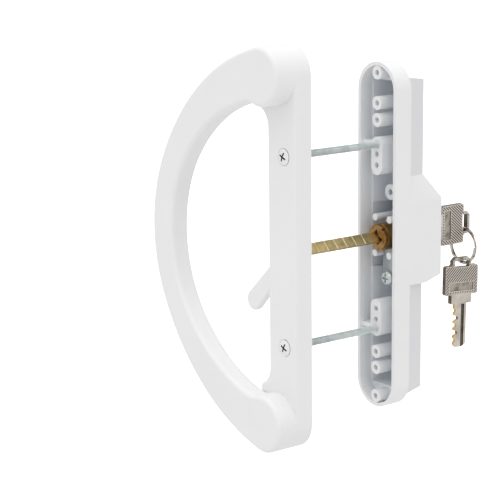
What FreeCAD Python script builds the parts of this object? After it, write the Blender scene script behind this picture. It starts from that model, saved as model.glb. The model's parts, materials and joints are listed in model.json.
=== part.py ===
import FreeCAD, Part
import math
import os
import Sketcher

# Handle pair for a sliding patio door: a cast D pull with a thumb lever on the room side,
# a hollow cast pull with a key cylinder on the outer side, and the screws that draw them together.
# Z is the height of the handles, Y runs through the door towards the outside, X along its width.
# The origin is where the axis of the tailpiece crosses the door side of the room handle.

V = FreeCAD.Vector
doc = FreeCAD.newDocument("patio_door_handle")
sheet = doc.addObject("Spreadsheet::Sheet", "sizes")

SIZES = {
    # Fixing
    "door_gap": 52.0,
    "screw_spacing": 100.0,
    "screw_shank_diameter": 4.0,
    "screw_head_diameter": 9.2,
    "screw_dome_rise": 1.0,
    "screw_grip_length": 14.0,
    "driver_slot_width": 1.2,
    "driver_slot_span": 5.2,
    "driver_slot_depth": 1.5,
    "sliding_clearance": 0.2,
    "running_clearance": 0.05,
    "cut_overrun": 1.0,
    # Room handle
    "base_depth": 10.4,
    "base_left_reach": 13.6,
    "base_right_reach": 9.6,
    "base_edge_round": 1.8,
    "lobe_circle_size": 15.3,
    "lobe_centre_height": 90.8,
    "grip_front": 22.0,
    "grip_edge_round": 2.4,
    "grip_reach": 103.5,
    "grip_crown_angle": 26.2,
    "grip_flank_size": 126.0,
    "grip_width": 18.5,
    "hand_crown_angle": 38.9,
    "hand_flank_size": 92.0,
    "hand_corner_size": 14.0,
    "hand_corner_angle": 72.2,
    "base_corner_size": 11.0,
    "base_wall": 2.8,
    "base_front_wall": 2.6,
    "hollow_end_inset": 2.8,
    "fixing_boss_diameter": 10.0,
    "rib_thickness": 1.8,
    "rib_height_inner": 30.0,
    "rib_height_outer": 70.0,
    # Thumb lever
    "lever_hub_diameter": 13.2,
    "lever_thickness": 4.2,
    "lever_journal_diameter": 9.0,
    "lever_journal_length": 1.3,
    "lever_length": 49.0,
    "lever_neck_width": 8.6,
    "lever_tip_width": 11.0,
    "lever_edge_round": 1.2,
    "lever_swing": 90.0,
    "lever_rest_angle": 45.0,
    "lever_slot_slack": 1.0,
    # Plate that keeps the lever in its seat
    "seat_plate_thickness": 1.2,
    "seat_plate_width": 13.0,
    "seat_screw_height": 14.5,
    "seat_screw_offset": 4.0,
    "seat_boss_diameter": 5.6,
    "seat_screw_shank_diameter": 2.4,
    "seat_screw_head_diameter": 4.8,
    "seat_screw_head_height": 1.2,
    "seat_screw_length": 5.0,
    "seat_screw_bevel": 0.4,
    # Tailpiece
    "tail_width": 6.2,
    "tail_thickness": 1.8,
    "tail_score_pitch": 6.35,
    "tail_score_width": 0.5,
    "tail_score_depth": 0.25,
    "tail_score_start": 4.0,
    "tail_entry": 4.0,
    # Outer handle
    "shell_width": 30.0,
    "shell_half_height": 93.7,
    "shell_wall": 2.0,
    "rim_step_depth": 10.8,
    "tier_depth": 22.5,
    "tier_overlap": 1.0,
    "tier_inset_near": 1.0,
    "tier_inset_far": 3.5,
    "tier_end_drop": 8.2,
    "tier_end_slope": 1.5,
    "block_depth": 34.0,
    "block_top_height": 19.3,
    "block_slope_height": 33.5,
    "block_low_height": 25.2,
    "block_low_rise": 3.5,
    "shell_floor": 2.6,
    "shell_edge_round": 1.4,
    "peg_hole_diameter": 3.1,
    "peg_hole_depth": 6.0,
    "round_boss_diameter": 7.2,
    "first_boss_drop": 30.7,
    "second_boss_drop": 21.7,
    "third_boss_drop": 5.7,
    "long_boss_width": 8.4,
    "long_boss_run": 12.0,
    "near_peg_run": 11.0,
    "far_peg_run": 5.0,
    "web_thickness": 2.4,
    "pin_diameter": 3.8,
    "pin_side": 5.6,
    "pin_height": 9.8,
    "pin_drop": 4.0,
    # Cylinder
    "sleeve_diameter": 14.8,
    "sleeve_proud": 6.0,
    "plug_diameter": 11.6,
    "plug_back_drop": 2.4,
    "plug_recess_diameter": 7.2,
    "plug_recess_depth": 6.0,
    "plug_flange_diameter": 13.6,
    "plug_flange_thickness": 1.2,
    "collar_diameter": 19.0,
    "collar_drop": 13.0,
    "wafer_thickness": 1.0,
    "wafer_pitch": 2.6,
    "wafer_first": 6.0,
    "wafer_half_width": 2.2,
    "wafer_half_height": 5.2,
    "wafer_lug_reach": 4.0,
    "wafer_lug_height": 0.8,
    "spring_coil_diameter": 1.1,
    "spring_wire_diameter": 0.24,
    "spring_pitch": 0.6,
    "spring_height": 2.4,
    "cap_diameter": 13.6,
    "cap_thickness": 1.8,
    "cap_slot_reach": 4.4,
    "cap_slot_half_angle": 40.0,
    "cap_slot_waist": 2.2,
    "cap_notch_width": 2.0,
    "cap_notch_depth": 1.2,
    "cylinder_screw_height": 23.4,
    "cylinder_screw_boss_diameter": 8.4,
    "cylinder_screw_drop": 6.5,
    "cylinder_screw_head_diameter": 8.0,
    "cylinder_screw_head_height": 2.2,
    "cylinder_screw_shank_diameter": 3.0,
    "cylinder_screw_length": 8.0,
    "cylinder_screw_bevel": 1.0,
    "clamp_plate_thickness": 1.2,
    "clamp_groove_depth": 0.8,
    # Keys
    "blade_thickness": 1.9,
    "blade_height": 8.0,
    "blade_length": 25.0,
    "blade_overlap": 0.5,
    "blade_tip_slope": 2.0,
    "blade_tip_bevel": 1.2,
    "blade_first_cut": 4.0,
    "blade_groove_depth": 0.5,
    "blade_groove_height": 2.0,
    "shoulder_length": 5.0,
    "shoulder_height": 13.6,
    "shoulder_thickness": 3.2,
    "key_cut_pitch": 4.2,
    "key_cut_root": 1.4,
    "key_cut_lean": 0.45,
    "bow_height": 22.0,
    "bow_length": 16.5,
    "bow_thickness": 3.0,
    "bow_tab_length": 4.6,
    "bow_tab_height": 12.4,
    "bow_tab_chamfer": 1.8,
    "bow_corner_round": 1.2,
    "bow_slot_length": 3.6,
    "bow_slot_height": 9.6,
    "bow_slot_inset": 1.8,
    "bow_panel_length": 4.4,
    "bow_panel_height": 16.0,
    "bow_panel_inset": 2.3,
    "bow_panel_depth": 0.4,
    "key_stop_clearance": 0.3,
    "hanging_clearance": 0.3,
    "ring_diameter": 21.0,
    "ring_wire": 1.8,
    "spare_key_turn": 8.0,
    "spare_key_lean": 9.0,
}

# Levels behind the front wall of the room handle, as depths from the door
HUB_FRONT = "( base_depth - base_front_wall - sliding_clearance )"
HUB_BACK = "( base_depth - base_front_wall - sliding_clearance - lever_thickness )"
SEAT_FRONT = "( base_depth - base_front_wall - 2 * sliding_clearance - lever_thickness )"
SEAT_BACK = ("( base_depth - base_front_wall - 2 * sliding_clearance - lever_thickness"
             " - seat_plate_thickness )")

# The clamp plate's two faces, as depths in the outer handle
CLAMP_FACE = "cylinder_screw_drop + cylinder_screw_head_height"
CLAMP_SEAT = CLAMP_FACE + " + clamp_plate_thickness"

# Where the key's shoulder stops, and the outer end of its slot from there
KEY_STOP = "door_gap + block_depth + sleeve_proud + plug_flange_thickness + key_stop_clearance"
SLOT_END = "shoulder_length + bow_length + bow_tab_length - bow_slot_inset"

# Heights of the outer handle's bosses and of the spare holes in its long bosses
FIRST_BOSS = "shell_half_height - first_boss_drop"
SECOND_BOSS = "shell_half_height - second_boss_drop"
THIRD_BOSS = "shell_half_height - third_boss_drop"
LONG_BOSS = "screw_spacing / 2 - long_boss_run"
NEAR_PEG = "screw_spacing / 2 - near_peg_run"
FAR_PEG = "screw_spacing / 2 - far_peg_run"

WAFER_COUNT = 5
SPRING_RUNS = 8
CUT_DEPTHS = (0.12, 0.26, 0.18, 0.3, 0.1)
SIDES = (("high", "1 * "), ("low", "-1 * "))


def fill_sheet():
    """Write every driving dimension into the sheet, one row each."""
    for row, (name, number) in enumerate(SIZES.items(), start=1):
        sheet.set("A%d" % row, name)
        sheet.set("B%d" % row, str(number))
        sheet.setAlias("B%d" % row, name)
    doc.recompute()


def size(name):
    """A driving dimension as a plain number."""
    return float(sheet.get(name))


def bound(text):
    """An expression in the sheet's names, with the sheet's prefix on each."""
    words = []
    for word in text.replace("(", " ( ").replace(")", " ) ").split():
        words.append("sizes." + word if word in SIZES else word)
    return " ".join(words)


def value(text):
    """The number that such an expression has now."""
    words = []
    for word in text.replace("(", " ( ").replace(")", " ) ").split():
        words.append(str(size(word)) if word in SIZES else word)
    total = FreeCAD.Units.Quantity(" ".join(words))
    return float(total.Value)


fill_sheet()


def new_body(name):
    """An empty body that carries the piece's name."""
    body = doc.addObject("PartDesign::Body", name)
    body.Label = name
    return body


def new_sketch(body, plane, name, offset=None):
    """A sketch on one of the body's own planes, moved along the plane's normal."""
    sketch = body.newObject("Sketcher::SketchObject", name)
    support = [item for item in body.Origin.OriginFeatures if item.Role == plane][0]
    sketch.AttachmentSupport = (support, [""])
    sketch.MapMode = "FlatFace"
    if offset:
        sketch.setExpression(".AttachmentOffset.Base.z", bound(offset))
    return sketch


def fix_number(sketch, kind, geometry, position, text):
    """Hold one coordinate of a point at an expression in the sheet's names."""
    reading = value(text)
    if abs(reading) < 1e-9:
        axis = -2 if kind == "DistanceX" else -1
        sketch.addConstraint(Sketcher.Constraint("PointOnObject", geometry, position, axis))
        return
    number = sketch.addConstraint(Sketcher.Constraint(kind, -1, 1, geometry, position, reading))
    sketch.setExpression("Constraints[%d]" % number, bound(text))


def add_circle(sketch, diameter, across="0", up="0"):
    """A circle of a named diameter about a named centre."""
    centre = V(value(across), value(up), 0)
    circle = sketch.addGeometry(Part.Circle(centre, V(0, 0, 1), value(diameter) / 2))
    number = sketch.addConstraint(Sketcher.Constraint("Diameter", circle, value(diameter)))
    sketch.setExpression("Constraints[%d]" % number, bound(diameter))
    if abs(value(across)) < 1e-9 and abs(value(up)) < 1e-9:
        sketch.addConstraint(Sketcher.Constraint("Coincident", circle, 3, -1, 1))
    else:
        fix_number(sketch, "DistanceX", circle, 3, across)
        fix_number(sketch, "DistanceY", circle, 3, up)


def add_polygon(sketch, corners):
    """A closed polygon, each corner held at two expressions."""
    points = [V(value(across), value(up), 0) for across, up in corners]
    count = len(points)
    lines = [
        sketch.addGeometry(Part.LineSegment(points[place], points[(place + 1) % count]))
        for place in range(count)
    ]
    for place, line in enumerate(lines):
        sketch.addConstraint(Sketcher.Constraint("Coincident", line, 2, lines[(place + 1) % count], 1))
        fix_number(sketch, "DistanceX", line, 1, corners[place][0])
        fix_number(sketch, "DistanceY", line, 1, corners[place][1])


def add_rectangle(sketch, left, right, low, high):
    """An upright rectangle between four named coordinates."""
    add_polygon(sketch, [(left, low), (right, low), (right, high), (left, high)])


def add_outline(sketch, edges):
    """A closed outline of lines and arcs that follow each other, each arc's radius named."""
    placed = []
    for edge in edges:
        if edge[0] == "line":
            number = sketch.addGeometry(Part.LineSegment(edge[1], edge[2]))
            placed.append((number, 1, 2))
            continue
        centre, start, end, turn, radius = edge[1:]
        first, last = (start, end) if turn > 0 else (end, start)
        angles = [math.atan2(point.y - centre.y, point.x - centre.x) for point in (first, last)]
        if angles[1] < angles[0]:
            angles[1] += 2 * math.pi
        circle = Part.Circle(centre, V(0, 0, 1), (start - centre).Length)
        number = sketch.addGeometry(Part.ArcOfCircle(circle, angles[0], angles[1]))
        held = sketch.addConstraint(Sketcher.Constraint("Radius", number, (start - centre).Length))
        if radius:
            sketch.setExpression("Constraints[%d]" % held, bound(radius))
        placed.append((number, 1, 2) if turn > 0 else (number, 2, 1))
    for place, (number, _, last) in enumerate(placed):
        after = placed[(place + 1) % len(placed)]
        sketch.addConstraint(Sketcher.Constraint("Coincident", number, last, after[0], after[1]))


def pad(body, sketch, length, back=False, symmetric=False):
    """Material from the sketch along its normal, or against it with back."""
    feature = body.newObject("PartDesign::Pad", sketch.Name + "_pad")
    feature.Profile = sketch
    feature.setExpression("Length", bound(length))
    feature.Reversed = back
    feature.SideType = "Symmetric" if symmetric else "One side"
    doc.recompute()
    return feature


def pocket(body, sketch, length, along=False, symmetric=False):
    """A cut from the sketch against its normal, or along it, which must take material away."""
    before = body.Shape.Volume
    feature = body.newObject("PartDesign::Pocket", sketch.Name + "_pocket")
    feature.Profile = sketch
    feature.setExpression("Length", bound(length))
    feature.Reversed = along
    feature.SideType = "Symmetric" if symmetric else "One side"
    doc.recompute()
    if body.Shape.Volume > before - 1e-6:
        raise RuntimeError(feature.Name + " cuts nothing")
    return feature


def revolve(body, sketch):
    """A full turn of the sketch about its own vertical axis."""
    feature = body.newObject("PartDesign::Revolution", sketch.Name + "_turned")
    feature.Profile = sketch
    feature.ReferenceAxis = (sketch, ["V_Axis"])
    feature.Angle = 360.0
    doc.recompute()
    return feature


def round_edges(body, base, radius, wanted, kind="PartDesign::Fillet"):
    """A fillet or chamfer on the edges that the test picks."""
    names = ["Edge%d" % (place + 1) for place, edge in enumerate(base.Shape.Edges) if wanted(edge)]
    if not names:
        raise RuntimeError(body.Name + " has no edge to round")
    feature = body.newObject(kind, body.Name + "_" + kind[12:].lower())
    feature.Base = (base, names)
    feature.setExpression("Size" if kind.endswith("Chamfer") else "Radius", bound(radius))
    doc.recompute()
    return feature


def join(body, tool, kind="Fuse"):
    """Another body joined to this one, or cut from it."""
    feature = body.newObject("PartDesign::Boolean", tool.Name + "_" + kind.lower())
    feature.setObjects([tool])
    feature.Type = kind
    doc.recompute()
    return feature


def on_circle(centre, radius, through):
    """The point of a circle that lies towards another point."""
    return centre + (through - centre).normalize() * radius


def flipped(point):
    """The same point below the middle of the handle."""
    return V(point.x, -point.y, 0)


# The D pull: its outline is a crown arc, a flatter flank arc and the round lobe, above and below

LOBE = V(size("base_right_reach") - size("lobe_circle_size"), size("lobe_centre_height"), 0)
CORNER_TURN = math.radians(size("hand_corner_angle"))
HAND_CORNER = LOBE - (V(math.cos(CORNER_TURN), math.sin(CORNER_TURN), 0)
                      * (size("lobe_circle_size") + size("hand_corner_size")))


def bow_circles(reach, flank_size, half_angle, corner, corner_size):
    """The centres of a crown and its flank, and the point where the two circles meet.

    The crown reaches the given distance to the left and turns through twice the half angle.
    The flank's circle follows it and touches the corner's circle from outside.
    """
    bend = math.radians(half_angle)
    fall = 1 - math.cos(bend)
    across = flank_size - reach - corner.x
    lean = fall * across - math.sin(bend) * corner.y
    spare = across ** 2 + corner.y ** 2 - (flank_size - corner_size) ** 2
    step = (lean + math.sqrt(lean ** 2 - 2 * fall * spare)) / (2 * fall)
    crown = V(flank_size - step - reach, 0, 0)
    towards_end = V(-math.cos(bend), math.sin(bend), 0)
    return crown, crown - towards_end * step, crown + towards_end * (flank_size - step)


CROWN, FLANK, CROWN_END = bow_circles(
    size("grip_reach"), size("grip_flank_size"), size("grip_crown_angle"),
    LOBE, size("lobe_circle_size"))
HAND_CROWN, HAND_FLANK, HAND_END = bow_circles(
    size("grip_reach") - size("grip_width"), size("hand_flank_size"), size("hand_crown_angle"),
    HAND_CORNER, size("hand_corner_size"))


def grip_edges():
    """The closed outline of the floating bow with a lobe at each end."""
    lobe_start = on_circle(FLANK, size("grip_flank_size"), LOBE)
    lobe_end = on_circle(LOBE, size("lobe_circle_size"), HAND_CORNER)
    corner_end = on_circle(HAND_FLANK, size("hand_flank_size"), HAND_CORNER)
    return [
        ("arc", CROWN, flipped(CROWN_END), CROWN_END, -1, None),
        ("arc", FLANK, CROWN_END, lobe_start, -1, "grip_flank_size"),
        ("arc", LOBE, lobe_start, lobe_end, -1, "lobe_circle_size"),
        ("arc", HAND_CORNER, lobe_end, corner_end, 1, "hand_corner_size"),
        ("arc", HAND_FLANK, corner_end, HAND_END, 1, "hand_flank_size"),
        ("arc", HAND_CROWN, HAND_END, flipped(HAND_END), 1, None),
        ("arc", flipped(HAND_FLANK), flipped(HAND_END), flipped(corner_end), 1, "hand_flank_size"),
        ("arc", flipped(HAND_CORNER), flipped(corner_end), flipped(lobe_end), 1, "hand_corner_size"),
        ("arc", flipped(LOBE), flipped(lobe_end), flipped(lobe_start), -1, "lobe_circle_size"),
        ("arc", flipped(FLANK), flipped(lobe_start), flipped(CROWN_END), -1, "grip_flank_size"),
    ]


def base_edges():
    """The outline of the base: a bar that flares into the neck of the bow at each end."""
    left = -size("base_left_reach")
    right = size("base_right_reach")
    radius = size("base_corner_size")
    flare_x = left - radius
    reach = size("hand_flank_size") - radius
    flare = V(flare_x, HAND_FLANK.y + math.sqrt(reach ** 2 - (flare_x - HAND_FLANK.x) ** 2), 0)
    lobe_left = V(LOBE.x - size("lobe_circle_size"), LOBE.y, 0)
    lobe_right = V(right, LOBE.y, 0)
    flare_start = V(left, flare.y, 0)
    rise = math.sqrt(radius ** 2 - (lobe_left.x - flare.x) ** 2)
    flare_end = V(lobe_left.x, flare.y + rise, 0)
    return [
        ("line", flipped(flare_start), flare_start),
        ("arc", flare, flare_start, flare_end, 1, "base_corner_size"),
        ("line", flare_end, lobe_left),
        ("arc", LOBE, lobe_left, lobe_right, -1, "lobe_circle_size"),
        ("line", lobe_right, flipped(lobe_right)),
        ("arc", flipped(LOBE), flipped(lobe_right), flipped(lobe_left), -1, "lobe_circle_size"),
        ("line", flipped(lobe_left), flipped(flare_end)),
        ("arc", flipped(flare), flipped(flare_end), flipped(flare_start), 1, "base_corner_size"),
    ]


def grip_body():
    """The bow, as thick all round, with every long edge rounded for the hand."""
    body = new_body("grip_bow")
    sketch = new_sketch(body, "XZ_Plane", "bow_outline", "base_depth")
    add_outline(sketch, grip_edges())
    bow = pad(body, sketch, "grip_front - base_depth")
    round_edges(body, bow, "grip_edge_round", lies_across_depth)
    return body


def lies_across_depth(edge):
    """True for an edge that lies in one plane parallel to the door."""
    return edge.BoundBox.YLength < 1e-4


def inside_handle():
    """The room handle, one casting: base, lobes and bow, hollow behind, with its screw bosses."""
    body = new_body("inside_handle")
    base = new_sketch(body, "XZ_Plane", "base_outline")
    add_outline(base, base_edges())
    bar = pad(body, base, "base_depth")
    front = -size("base_depth")
    round_edges(body, bar, "base_edge_round",
                lambda edge: lies_across_depth(edge) and abs(edge.BoundBox.YMin - front) < 1e-4)
    for name, height in (("upper", "lobe_centre_height"), ("lower", "-1 * lobe_centre_height")):
        lobe = new_sketch(body, "XZ_Plane", name + "_lobe")
        add_circle(lobe, "2 * lobe_circle_size", "base_right_reach - lobe_circle_size", height)
        pad(body, lobe, "grip_front - grip_edge_round")
    join(body, grip_body())
    hollow = new_sketch(body, "XZ_Plane", "back_hollow")
    add_rectangle(hollow, "base_wall - base_left_reach", "base_right_reach - base_wall",
                  "hollow_end_inset - lobe_centre_height", "lobe_centre_height - hollow_end_inset")
    pocket(body, hollow, "base_depth - base_front_wall", along=True)
    add_inside_bosses(body)
    add_lever_openings(body)
    return body


def add_inside_bosses(body):
    """Ribs across the hollow, a bored boss for each long screw, two small bosses at the lever."""
    for name, height in (("inner", "rib_height_inner"), ("outer", "rib_height_outer")):
        rib = new_sketch(body, "XZ_Plane", name + "_ribs")
        for _, sign in SIDES:
            add_rectangle(rib, "base_wall / 2 - base_left_reach", "base_right_reach - base_wall / 2",
                          sign + height + " - rib_thickness / 2",
                          sign + height + " + rib_thickness / 2")
        pad(body, rib, "base_depth - base_front_wall / 2")
    bosses = add_pair(body, "fixing_bosses", "fixing_boss_diameter", "0", "screw_spacing / 2")
    pad(body, bosses, "base_depth - base_front_wall / 2")
    seats = add_pair(body, "seat_bosses", "seat_boss_diameter", "seat_screw_offset",
                     "seat_screw_height", SEAT_FRONT)
    pad(body, seats, "base_depth - base_front_wall / 2 - " + SEAT_FRONT)
    holes = add_pair(body, "fixing_holes", "screw_shank_diameter + 2 * sliding_clearance", "0",
                     "screw_spacing / 2")
    bored = pocket(body, holes, "base_depth + cut_overrun", along=True)
    round_edges(body, bored,
                "( screw_head_diameter - screw_shank_diameter ) / 2"
                " - sliding_clearance + running_clearance", is_hole_mouth, "PartDesign::Chamfer")
    pilots = add_pair(body, "seat_holes", "seat_screw_shank_diameter + 2 * running_clearance",
                      "seat_screw_offset", "seat_screw_height", SEAT_FRONT)
    pocket(body, pilots, "seat_screw_length", along=True)


def add_pair(body, name, diameter, across, height, offset=None):
    """A sketch of two equal circles, at the same height above and below the middle."""
    sketch = new_sketch(body, "XZ_Plane", name, offset)
    for _, sign in SIDES:
        add_circle(sketch, diameter, across, sign + "( " + height + " )")
    return sketch


def is_hole_mouth(edge):
    """True for the round edge of a screw hole in the front face of the base."""
    if not isinstance(edge.Curve, Part.Circle) or not lies_across_depth(edge):
        return False
    centre = edge.Curve.Center
    at_front = abs(centre.y + size("base_depth")) < 1e-3
    at_screw = abs(abs(centre.z) - size("screw_spacing") / 2) < 1e-3
    return at_front and at_screw and abs(centre.x) < 1e-3


def add_lever_openings(body):
    """The bore that carries the lever's front journal, and the slot that the lever swings in."""
    bore = new_sketch(body, "XZ_Plane", "journal_bore")
    add_circle(bore, "lever_journal_diameter + 2 * running_clearance")
    pocket(body, bore, HUB_FRONT + " + lever_journal_length + sliding_clearance", along=True)
    slot = new_sketch(body, "YZ_Plane", "lever_slot")
    half_swing = math.radians(size("lever_swing") / 2)
    half_slot = (size("base_left_reach") * math.tan(half_swing)
                 + size("lever_neck_width") / 2 / math.cos(half_swing)
                 + size("lever_slot_slack"))
    front = -value(HUB_FRONT) - size("sliding_clearance") * 2
    back = -value(HUB_BACK) + size("sliding_clearance") * 2
    corners = [V(front, -half_slot, 0), V(back, -half_slot, 0),
               V(back, half_slot, 0), V(front, half_slot, 0)]
    add_outline(slot, [("line", corners[place], corners[(place + 1) % 4]) for place in range(4)])
    pocket(body, slot, "base_left_reach + cut_overrun")


def turned_about_depth(body, degrees):
    """Place a body turned about the axis that runs through the door."""
    body.setExpression(".Placement.Rotation.Angle", bound(degrees))
    body.Placement.Rotation = FreeCAD.Rotation(V(0, 1, 0), value(degrees))


def thumb_lever():
    """The lever casting: a hub on two journals and an arm that ends in a rounded thumb tab."""
    body = new_body("thumb_lever")
    arm = new_sketch(body, "XZ_Plane", "lever_arm", HUB_BACK)
    half_neck = size("lever_neck_width") / 2
    half_tip = size("lever_tip_width") / 2
    tip = V(half_tip - size("lever_length"), 0, 0)
    high = tip + V(0, half_tip, 0)
    add_outline(arm, [
        ("line", V(0, -half_neck, 0), V(0, half_neck, 0)),
        ("line", V(0, half_neck, 0), high),
        ("arc", tip, high, tip + V(0, -half_tip, 0), 1, "lever_tip_width / 2"),
        ("line", tip + V(0, -half_tip, 0), V(0, -half_neck, 0)),
    ])
    blank = pad(body, arm, "lever_thickness")
    round_edges(body, blank, "lever_edge_round",
                lambda edge: lies_across_depth(edge) and edge.BoundBox.XMin < -1)
    hub = new_sketch(body, "XZ_Plane", "lever_hub", HUB_BACK)
    add_circle(hub, "lever_hub_diameter")
    pad(body, hub, "lever_thickness")
    journal = new_sketch(body, "XZ_Plane", "lever_journals",
                         SEAT_BACK)
    add_circle(journal, "lever_journal_diameter")
    pad(body, journal, HUB_FRONT + " + lever_journal_length - " + SEAT_BACK)
    slot = new_sketch(body, "XZ_Plane", "tail_slot")
    add_rectangle(slot, "0 - tail_thickness / 2 - running_clearance",
                  "tail_thickness / 2 + running_clearance",
                  "0 - tail_width / 2 - running_clearance", "tail_width / 2 + running_clearance")
    pocket(body, slot, HUB_FRONT, along=True)
    turned_about_depth(body, "-1 * lever_rest_angle")
    return body


def lever_seat_plate():
    """The stamped plate behind the lever that keeps its hub in the casting."""
    body = new_body("lever_seat_plate")
    plate = new_sketch(body, "XZ_Plane", "seat_plate", SEAT_BACK)
    add_rectangle(plate, "seat_screw_offset - seat_plate_width + seat_boss_diameter / 2",
                  "seat_screw_offset + seat_boss_diameter / 2 - running_clearance",
                  "0 - seat_screw_height - seat_boss_diameter / 2",
                  "seat_screw_height + seat_boss_diameter / 2")
    pad(body, plate, "seat_plate_thickness")
    bore = new_sketch(body, "XZ_Plane", "plate_bore")
    add_circle(bore, "lever_journal_diameter + 2 * running_clearance")
    pocket(body, bore, SEAT_FRONT + " + cut_overrun", along=True)
    for side, sign in (("high", "1"), ("low", "-1")):
        hole = new_sketch(body, "XZ_Plane", side + "_plate_hole")
        add_circle(hole, "seat_screw_shank_diameter + 2 * running_clearance",
                   "seat_screw_offset", sign + " * seat_screw_height")
        pocket(body, hole, SEAT_FRONT + " + cut_overrun", along=True)
    round_edges(body, body.Tip, "seat_plate_thickness",
                lambda edge: edge.BoundBox.YLength > 0.5 and isinstance(edge.Curve, Part.Line)
                and abs(edge.CenterOfMass.z) > size("seat_screw_height"))
    return body


def lever_seat_screws():
    """Two small pan head screws that hold the seat plate on its bosses."""
    screws = []
    for side, sign in (("upper", 1), ("lower", -1)):
        body = new_body(side + "_seat_screw")
        profile = new_sketch(body, "XY_Plane", side + "_seat_screw_profile")
        back = "0 - " + SEAT_BACK
        add_polygon(profile, [
            ("0", back + " + seat_screw_head_height"),
            ("0", back + " - seat_plate_thickness - seat_screw_length + seat_screw_bevel"),
            ("seat_screw_shank_diameter / 2",
             back + " - seat_plate_thickness - seat_screw_length + 2 * seat_screw_bevel"),
            ("seat_screw_shank_diameter / 2", back),
            ("seat_screw_head_diameter / 2", back),
            ("seat_screw_head_diameter / 2", back + " + seat_screw_head_height / 2"),
            ("seat_screw_head_diameter / 2 - seat_screw_bevel", back + " + seat_screw_head_height"),
        ])
        revolve(body, profile)
        body.setExpression(".Placement.Base.x", "sizes.seat_screw_offset")
        body.setExpression(".Placement.Base.z", "%d * sizes.seat_screw_height" % sign)
        screws.append(body)
    return screws


def tailpiece():
    """The flat brass bar that carries the turn of the lever and the key, scored to snap to length."""
    body = new_body("tailpiece")
    bar = new_sketch(body, "XZ_Plane", "tail_section", HUB_FRONT + " - running_clearance")
    add_rectangle(bar, "0 - tail_thickness / 2", "tail_thickness / 2",
                  "0 - tail_width / 2", "tail_width / 2")
    pad(body, bar, HUB_FRONT + " + door_gap + plug_back_drop + tail_entry", back=True)
    score = new_sketch(body, "XY_Plane", "tail_score")
    for sign in ("1", "-1"):
        low, high = ("tail_thickness / 2 - tail_score_depth", "tail_thickness / 2 + cut_overrun")
        edges = (low, high) if sign == "1" else ("0 - ( %s )" % high, "0 - ( %s )" % low)
        add_rectangle(score, edges[0], edges[1], "tail_score_start",
                      "tail_score_start + tail_score_width")
    cut = pocket(body, score, "tail_width + cut_overrun", symmetric=True)
    count = int((size("door_gap") - size("tail_score_start")) / size("tail_score_pitch"))
    rows = body.newObject("PartDesign::LinearPattern", "tail_scores")
    rows.Originals = [cut]
    rows.Direction = ([item for item in body.Origin.OriginFeatures if item.Role == "Y_Axis"][0], [""])
    rows.Occurrences = count
    rows.setExpression("Length", "sizes.tail_score_pitch * %d" % (count - 1))
    body.Tip = rows
    turned_about_depth(body, "-1 * lever_rest_angle")
    return body


def cross_corners(span, width):
    """The twelve corners of a cross recess."""
    wide, slim = span + " / 2", width + " / 2"
    quarter = [(wide, slim), (slim, slim), (slim, wide)]
    signs = [("", ""), ("0 - ", ""), ("0 - ", "0 - "), ("", "0 - ")]
    corners = []
    for place, (across, up) in enumerate(signs):
        run = quarter if place % 2 == 0 else quarter[::-1]
        corners += [(across + x, up + y) for x, y in run]
    return corners


def mounting_screw(name, sign):
    """A long machine screw with an oval cross head sunk in the room handle."""
    body = new_body(name)
    profile = new_sketch(body, "XY_Plane", name + "_profile")
    head = size("screw_head_diameter") / 2
    shank = size("screw_shank_diameter") / 2
    rise = size("screw_dome_rise")
    face = -size("base_depth")
    end = size("door_gap") + size("screw_grip_length")
    dome = (head ** 2 + rise ** 2) / (2 * rise)
    crown = V(0, face - rise, 0)
    rim = V(head, face, 0)
    add_outline(profile, [
        ("arc", V(0, face - rise + dome, 0), crown, rim, 1, None),
        ("line", rim, V(shank, face + head - shank, 0)),
        ("line", V(shank, face + head - shank, 0), V(shank, end - shank / 2, 0)),
        ("line", V(shank, end - shank / 2, 0), V(shank / 2, end, 0)),
        ("line", V(shank / 2, end, 0), V(0, end, 0)),
        ("line", V(0, end, 0), crown),
    ])
    revolve(body, profile)
    recess = new_sketch(body, "XZ_Plane", name + "_recess",
                        "base_depth + screw_dome_rise - driver_slot_depth")
    add_polygon(recess, cross_corners("driver_slot_span", "driver_slot_width"))
    pocket(body, recess, "driver_slot_depth + cut_overrun", along=False)
    body.setExpression(".Placement.Base.z", "%d * sizes.screw_spacing / 2" % sign)
    return body


# Depths of the outer handle are counted from its rim, which stands off by the gap for the door


def outward(depth):
    """The offset, along a sketch plane that faces the room, of a level in the outer handle."""
    return "0 - door_gap - ( %s )" % depth


def add_stadium(sketch, half_height, radius):
    """An upright outline with two straight sides and two round ends."""
    reach = value(radius)
    top = V(0, value(half_height) - reach, 0)
    low = flipped(top)
    side = V(reach, 0, 0)
    add_outline(sketch, [
        ("line", low + side, top + side),
        ("arc", top, top + side, top - side, 1, radius),
        ("line", top - side, low - side),
        ("arc", low, low - side, low + side, 1, radius),
    ])


def loft(body, sections, kind="PartDesign::AdditiveLoft"):
    """Material, or a cut, that runs straight from one sketch to the next."""
    feature = body.newObject(kind, sections[0].Name + "_loft")
    feature.Profile = sections[0]
    feature.Sections = sections[1:]
    feature.Ruled = True
    doc.recompute()
    return feature


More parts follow.
